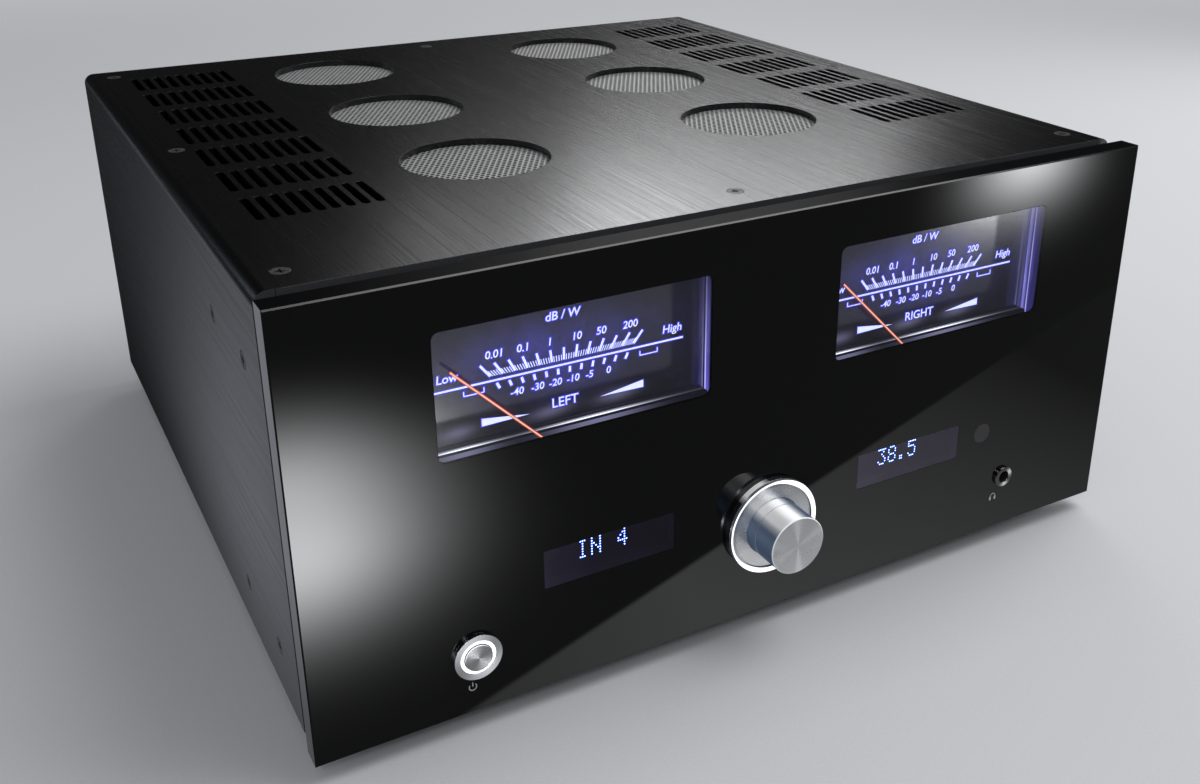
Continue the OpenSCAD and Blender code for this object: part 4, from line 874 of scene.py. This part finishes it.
def floor_pale():
    """A pale matt floor that fades into the backdrop; in reflections it is a dark studio."""
    mat = bpy.data.materials.new("floor_pale")
    mat.use_nodes = True
    g = Graph(mat.node_tree)
    place = g.place()
    x, y, _ = g.xyz(place)
    ahead = g.math("LESS_THAN", y, FACE * MM)
    seen = g.mix_value(ahead, seen_beside(g, x, y), seen_ahead(g, place, x))
    cast = g.mix(ahead, (0.94, 0.97, 1.08, 1.0), (0.97, 0.985, 1.0, 1.0))
    dark = g.add("Emission", Color=cast, Strength=seen)
    tone = g.mix(g.vary(g.noise(700.0)), (0.44, 0.445, 0.455, 1.0), (0.465, 0.47, 0.48, 1.0))
    pale = g.add("BsdfPrincipled", Base_Color=tone, Roughness=0.9, Specular_IOR_Level=0.1)
    path = g.add("LightPath").outputs
    far = g.times(g.span(g.length(place), 0.9, 2.6, smooth=True), path["Is Camera Ray"])
    haze = g.add("Emission", Color=BACKDROP, Strength=BACKDROP_LEVEL)
    faded = g.add("MixShader", _0=far, _1=pale.outputs[0], _2=haze.outputs[0])
    both = g.add("MixShader", _0=path["Is Glossy Ray"], _1=faded.outputs[0], _2=dark.outputs[0])
    g.add("OutputMaterial", Surface=both.outputs[0])
    mat.cycles.emission_sampling = "NONE"
    return mat


def lamp(name, place, aim, size, power, color):
    data = bpy.data.lights.new(name, "AREA")
    data.shape = "RECTANGLE"
    data.size, data.size_y = size
    data.energy = power
    data.color = color
    obj = bpy.data.objects.new(name, data)
    bpy.context.scene.collection.objects.link(obj)
    obj.location = place
    obj.rotation_euler = (Vector(aim) - Vector(place)).to_track_quat("-Z", "Y").to_euler()


def studio():
    scene = bpy.context.scene
    scene.view_settings.view_transform = "Standard"
    mesh = bpy.data.meshes.new("floor")
    ends = ((-1, -1), (1, -1), (1, 1), (-1, 1))
    mesh.from_pydata([(x * FLOOR_HALF, y * FLOOR_HALF, 0.0) for x, y in ends], [], [(0, 1, 2, 3)])
    mesh.materials.append(floor_pale())
    floor = bpy.data.objects.new("floor", mesh)
    scene.collection.objects.link(floor)

    world = bpy.data.worlds.new("studio")
    world.use_nodes = True
    scene.world = world
    g = Graph(world.node_tree)
    level = g.mix_value(g.add("LightPath").outputs["Is Glossy Ray"], BACKDROP_LEVEL, GLOSSY_LEVEL)
    g.add("OutputWorld", Surface=g.add("Background", Color=BACKDROP, Strength=level).outputs[0])
    for row in LAMPS:
        lamp(*row)


# Finishes of the CAD nodes
# Painted reflection on the knob's side: dark blue away from the light, white where it faces it
KNOB_PAINTED_REFLECTION = [(0.3, (0.075, 0.12, 0.21)), (0.66, (0.12, 0.18, 0.29)), (0.88, (0.16, 0.22, 0.33)),
             (0.94, (0.6, 0.63, 0.68)), (0.965, (0.97, 0.97, 0.98)), (1.0, (0.99, 0.99, 1.0))]
# Painted highlight on the flange's wall: a narrow bright streak, grey low down and dark elsewhere
FLANGE_PAINTED_HIGHLIGHT = [(0.0, (0.06, 0.062, 0.066)), (0.6, (0.055, 0.057, 0.06)), (0.68, (0.008, 0.009, 0.011)),
               (0.966, (0.009, 0.01, 0.012)), (0.982, (0.4, 0.41, 0.43)), (0.991, (0.95, 0.95, 0.96)),
               (1.0, (0.97, 0.97, 0.98))]
# Painted shade on the walls of the button and its bezel: lighter where they face up
BUTTON_PAINTED_SHADE = [(0.0, (0.7, 0.71, 0.73)), (1.0, (0.8, 0.81, 0.83))]
BEZEL_PAINTED_SHADE = [(0.0, (0.3, 0.31, 0.33)), (1.0, (0.8, 0.81, 0.84))]
# Painted lamp light in streaks on the end walls of the meters, from the lens to the dial
LEFT_PAINTED_STREAKS = [(0.5, (0.02, 0.018, 0.09)), (0.62, (0.06, 0.05, 0.3)), (0.7, (0.13, 0.11, 0.52)),
                (0.77, (0.06, 0.05, 0.3)), (0.83, (0.2, 0.18, 0.66)), (0.87, (0.55, 0.53, 1.0)),
                (0.92, (0.34, 0.32, 0.84)), (0.95, (0.012, 0.012, 0.04)), (0.98, (0.012, 0.012, 0.03)),
                (1.0, (0.07, 0.06, 0.26))]
RIGHT_PAINTED_STREAKS = [(0.2, (0.02, 0.018, 0.08)), (0.4, (0.03, 0.025, 0.14)), (0.52, (0.05, 0.04, 0.24)),
                 (0.6, (0.06, 0.05, 0.26)), (0.65, (0.5, 0.48, 0.95)), (0.7, (0.05, 0.045, 0.2)),
                 (0.76, (0.04, 0.035, 0.16)), (0.8, (0.15, 0.14, 0.52)), (0.93, (0.24, 0.23, 0.66)),
                 (1.0, (0.05, 0.045, 0.2))]
RING_WHITE = (0.96, 0.98, 1.0)


def case_finishes():
    """Finishes of the case and its fasteners, each with its nodes."""
    return {
        gloss_black(): "front_panel",
        brushed_black(): "top_cover left_side_panel right_side_panel front_frame",
        finish("steel_black", (0.028, 0.028, 0.03), 0.5, tint=0.25, grain=1600.0, bump=0.5, depth=0.00006,
               edge=0.3, worn=(0.1, 0.1, 0.1)): "base_tray rear_panel",
        finish("rubber_black", (0.02, 0.02, 0.02), 0.8, tint=0.3, grain=1300.0, bump=0.6,
               depth=0.00008): "foot_pads transformer_pads",
        finish("screw_black", (0.016, 0.016, 0.017), 0.3, tint=0.35, grain=2600.0, bump=0.2, edge=0.2,
               worn=(0.07, 0.07, 0.072), Specular_IOR_Level=0.12): "case_screws chassis_screws",
        finish("black_plastic", (0.018, 0.018, 0.019), 0.42, tint=0.2, grain=2200.0, bump=0.35, depth=0.00004,
               edge=0.25): "feet power_switch mains_inlet rocker_frame rocker optical_sockets volume_encoder "
                           "output_transistors",
    }


def meter_finishes():
    """Finishes of the meters and displays, each with its nodes."""
    return {
        lens_clear(): "meter_lenses",
        lit_housing("meter_black_left", 1.4, 0.1, LEFT_PAINTED_STREAKS): "left_meter_housing",
        lit_housing("meter_black_right", 1.25, 0.55, RIGHT_PAINTED_STREAKS): "right_meter_housing",
        dial_dark("dial_dark_left", -METER_X): "left_meter_dial",
        dial_dark("dial_dark_right", METER_X): "right_meter_dial",
        needle_red("needle_red_left", -METER_X): "left_needle",
        needle_red("needle_red_right", METER_X): "right_needle",
        finish("magnet_steel", (0.42, 0.42, 0.43), 0.35, 1.0, tint=0.2, grain=1200.0, bump=0.2,
               edge=0.2): "meter_movements",
        glow("lamp_white", (0.66, 0.68, 1.0), 0.35, 0.2): "meter_lamps",
        smoked("display_smoke", (0.34, 0.32, 0.38), (0.011, 0.01, 0.018)): "display_windows",
        finish("display_back", (0.012, 0.011, 0.02), 0.25, tint=0.3, spread=0.06,
               bump=0.1): "display_modules",
    }


def control_finishes():
    """Finishes of the controls on the front panel, each with its nodes."""
    return {
        turned("aluminium_satin", (0.76, 0.77, 0.79), 0.3, rings=88.0, aniso=0.85,
               walls=PaintedWalls(KNOB_PAINTED_REFLECTION, 0.62, 108.0, 0.6, 0.6, 0.93),
               painted_rays=PaintedRays(KNOB_X, KNOB_Z, 0.88, ((95.0, 60.0, 0.32), (24.0, 26.0, 0.26)))): "volume_knob",
        turned("shaft_steel", (0.6, 0.6, 0.62), 0.25, rings=60.0, aniso=0.5): "volume_shaft",
        finish("white_plastic", (0.62, 0.62, 0.6), 0.4, tint=0.06, grain=1500.0, bump=0.2,
               edge=0.25): "encoder_plunger",
        turned("flange_satin", (0.8, 0.81, 0.83), 0.26, rings=128.0, aniso=0.4,
               walls=PaintedWalls(FLANGE_PAINTED_HIGHLIGHT, 0.4, 116.0, 0.25, 0.75)): "volume_flange",
        front_glow("glow_rim", RING_WHITE, 1.1, Shade(KNOB_X, KNOB_Z, 20.95, 1.5)): "volume_light_ring",
        front_glow("glow_white", RING_WHITE, 1.1): "power_light_ring",
        turned("chrome_trim", (0.84, 0.85, 0.88), 0.16, rings=36.0, aniso=0.3, edge=0.5, bump=0.04,
               walls=PaintedWalls(BEZEL_PAINTED_SHADE, 0.15, 90.0, 1.0, 0.2),
               painted_rays=PaintedRays(POWER_X, POWER_Z, 0.42, ((120.0, 2.0, 0.72),))): "power_bezel",
        turned("button_satin", (0.84, 0.85, 0.87), 0.24, rings=56.0,
               walls=PaintedWalls(BUTTON_PAINTED_SHADE, 0.2, 90.0, 1.0, 0.6),
               painted_rays=PaintedRays(POWER_X, POWER_Z, 0.5, ((127.0, 3.0, 0.62),))): "power_button",
        jack_metal(): "headphone_socket",
        finish("remote_smoke", (0.027, 0.027, 0.029), 0.12, tint=0.15, grain=400.0, spread=0.03,
               IOR=ACRYLIC_IOR): "remote_window",
    }


def inner_finishes():
    """Finishes of what is inside the case and on its rear, each with its nodes."""
    return {
        board("board_green", (0.01, 0.075, 0.03)): "control_board power_board amplifier_boards input_board",
        wound(): "transformer",
        finish("clamp_steel", (0.075, 0.075, 0.08), 0.45, 1.0, tint=0.3, bump=0.3, edge=0.3,
               worn=(0.2, 0.2, 0.2)): "transformer_clamp",
        finish("sleeve_blue", (0.02, 0.045, 0.16), 0.35, tint=0.15, grain=(60.0, 60.0, 900.0), bump=0.1,
               edge=0.5): "capacitors",
        finish("sink_black", (0.02, 0.02, 0.021), 0.4, 1.0, tint=0.3, grain=(1800.0, 1800.0, 14.0), bump=0.4,
               edge=0.3): "left_heat_sink right_heat_sink",
        turned("contact_gold", (0.83, 0.6, 0.26), 0.24, rings=48.0, aniso=0.3, edge=0.15,
               bump=0.06): "line_sockets speaker_posts",
        finish("cap_red", (0.36, 0.016, 0.014), 0.22, tint=0.12, bump=0.05, edge=0.25,
               IOR=ACRYLIC_IOR): "post_cap_1 post_cap_3 post_ring_1 post_ring_3",
        finish("cap_black", (0.014, 0.014, 0.015), 0.22, tint=0.2, bump=0.05, edge=0.25,
               IOR=ACRYLIC_IOR): "post_cap_2 post_cap_4 post_ring_2 post_ring_4",
    }


def dress():
    """Give every CAD node its finish; the vent meshes are replaced."""
    bare = set(nodes) - {"vent_meshes"}
    for table in (case_finishes(), meter_finishes(), control_finishes(), inner_finishes()):
        for mat, names in table.items():
            for name in names.split():
                nodes[name].data.materials.clear()
                nodes[name].data.materials.append(mat)
                bare.discard(name)
    if bare:
        raise SystemExit(f"no finish for {sorted(bare)}")


# Marks on the front and the rear
# Bloom and aura plates are painted glow around the lit scales and dots
INK_THICK, BLOOM_THICK, BLOOM_SPREAD = 0.04, 0.03, 0.46
DOT_R, AURA_R = 0.32, 0.56
POWER_SIGN, HEADPHONE_SIGN = (-147.6, 22.9), (142.1, 28.6)


def front_print():
    """The lit scales of the dials, the dots of the displays and the signs by the button and the socket,
    with plates of painted glow around the scales and the dots.
    """
    ink = glow("print_lit", (0.74, 0.8, 1.0), 1.15, 0.05, 900.0)
    bloom = glow("print_bloom", (0.055, 0.045, 0.72), 0.8, 0.1, 900.0)
    for name, x, side in (("left", -METER_X, "LEFT"), ("right", METER_X, "RIGHT")):
        halo = Plates(DIAL, BLOOM_THICK)
        dial_marks(halo, x, side, BLOOM_SPREAD)
        halo.make(f"{name}_dial_bloom", bloom)
        scale = Plates(DIAL - INK_THICK, INK_THICK)
        dial_marks(scale, x, side, 0.0)
        scale.make(f"{name}_dial_scale", ink)
    dot = glow("dot_lit", (0.4, 0.64, 1.0), 7.5, 0.05)
    aura = glow("dot_bloom", (0.03, 0.08, 0.9), 2.6, 0.1)
    for name, body, u, v, step in DISPLAYS:
        halo = Plates(PANEL_BACK - 0.01, 0.02)
        dots(halo, body, u, v, step, AURA_R)
        halo.make(f"{name}_display_bloom", aura)
        core = Plates(PANEL_BACK - 0.04, 0.03)
        dots(core, body, u, v, step, DOT_R)
        core.make(f"{name}_display_dots", dot)
    grey = finish("print_grey", (0.42, 0.43, 0.45), 0.5, tint=0.1, grain=3000.0, bump=0.1)
    sign = Plates(FACE, 0.03)
    power_sign(sign, *POWER_SIGN)
    headphone_sign(sign, *HEADPHONE_SIGN)
    sign.make("panel_signs", grey)


# Columns of rear sockets: how many, x of the first, step, and z and height of the numbers over or under them
LINE_COLUMNS = (8, -80.0, 18.0, 169.5, 3.4)
OPTICAL_COLUMNS = (4, -80.0, 20.0, 101.5, 3.0)
# Channel letters and their z, beside the rows of line sockets and between the speaker posts
LINE_ROWS, LINE_ROWS_X = (("L", 158.0), ("R", 138.0)), -92.5
POST_MARKS_Z = 80.0
LETTER_H, POLE_H = 4.0, 5.0


def rear_print():
    """Plain markings by the connectors: channel letters, numbers, plus and minus. A rear x shows mirrored."""
    white = finish("print_white", (0.6, 0.6, 0.6), 0.55, tint=0.08, grain=2600.0, bump=0.1)
    sheet = Plates(REAR, INK_THICK, back=True)
    for count, first, step, z, height in (LINE_COLUMNS, OPTICAL_COLUMNS):
        for i in range(count):
            sheet.text(str(i + 1), -(first + step * i), z, height)
    for body, z in LINE_ROWS:
        sheet.text(body, -LINE_ROWS_X, z, LETTER_H)
    posts = [MOUNTS[f"speaker_bore_{i}"][0] for i in range(1, 5)]
    for x, body in zip(posts, "+-+-"):
        sheet.text(body, -x, POST_MARKS_Z, POLE_H)
    for body, first, second in (("L", *posts[:2]), ("R", *posts[2:])):
        sheet.text(body, -(first + second) / 2, POST_MARKS_Z, LETTER_H)
    sheet.make("rear_marks", white)


camera()
studio()
dress()
vents(perforated())
front_print()
rear_print()
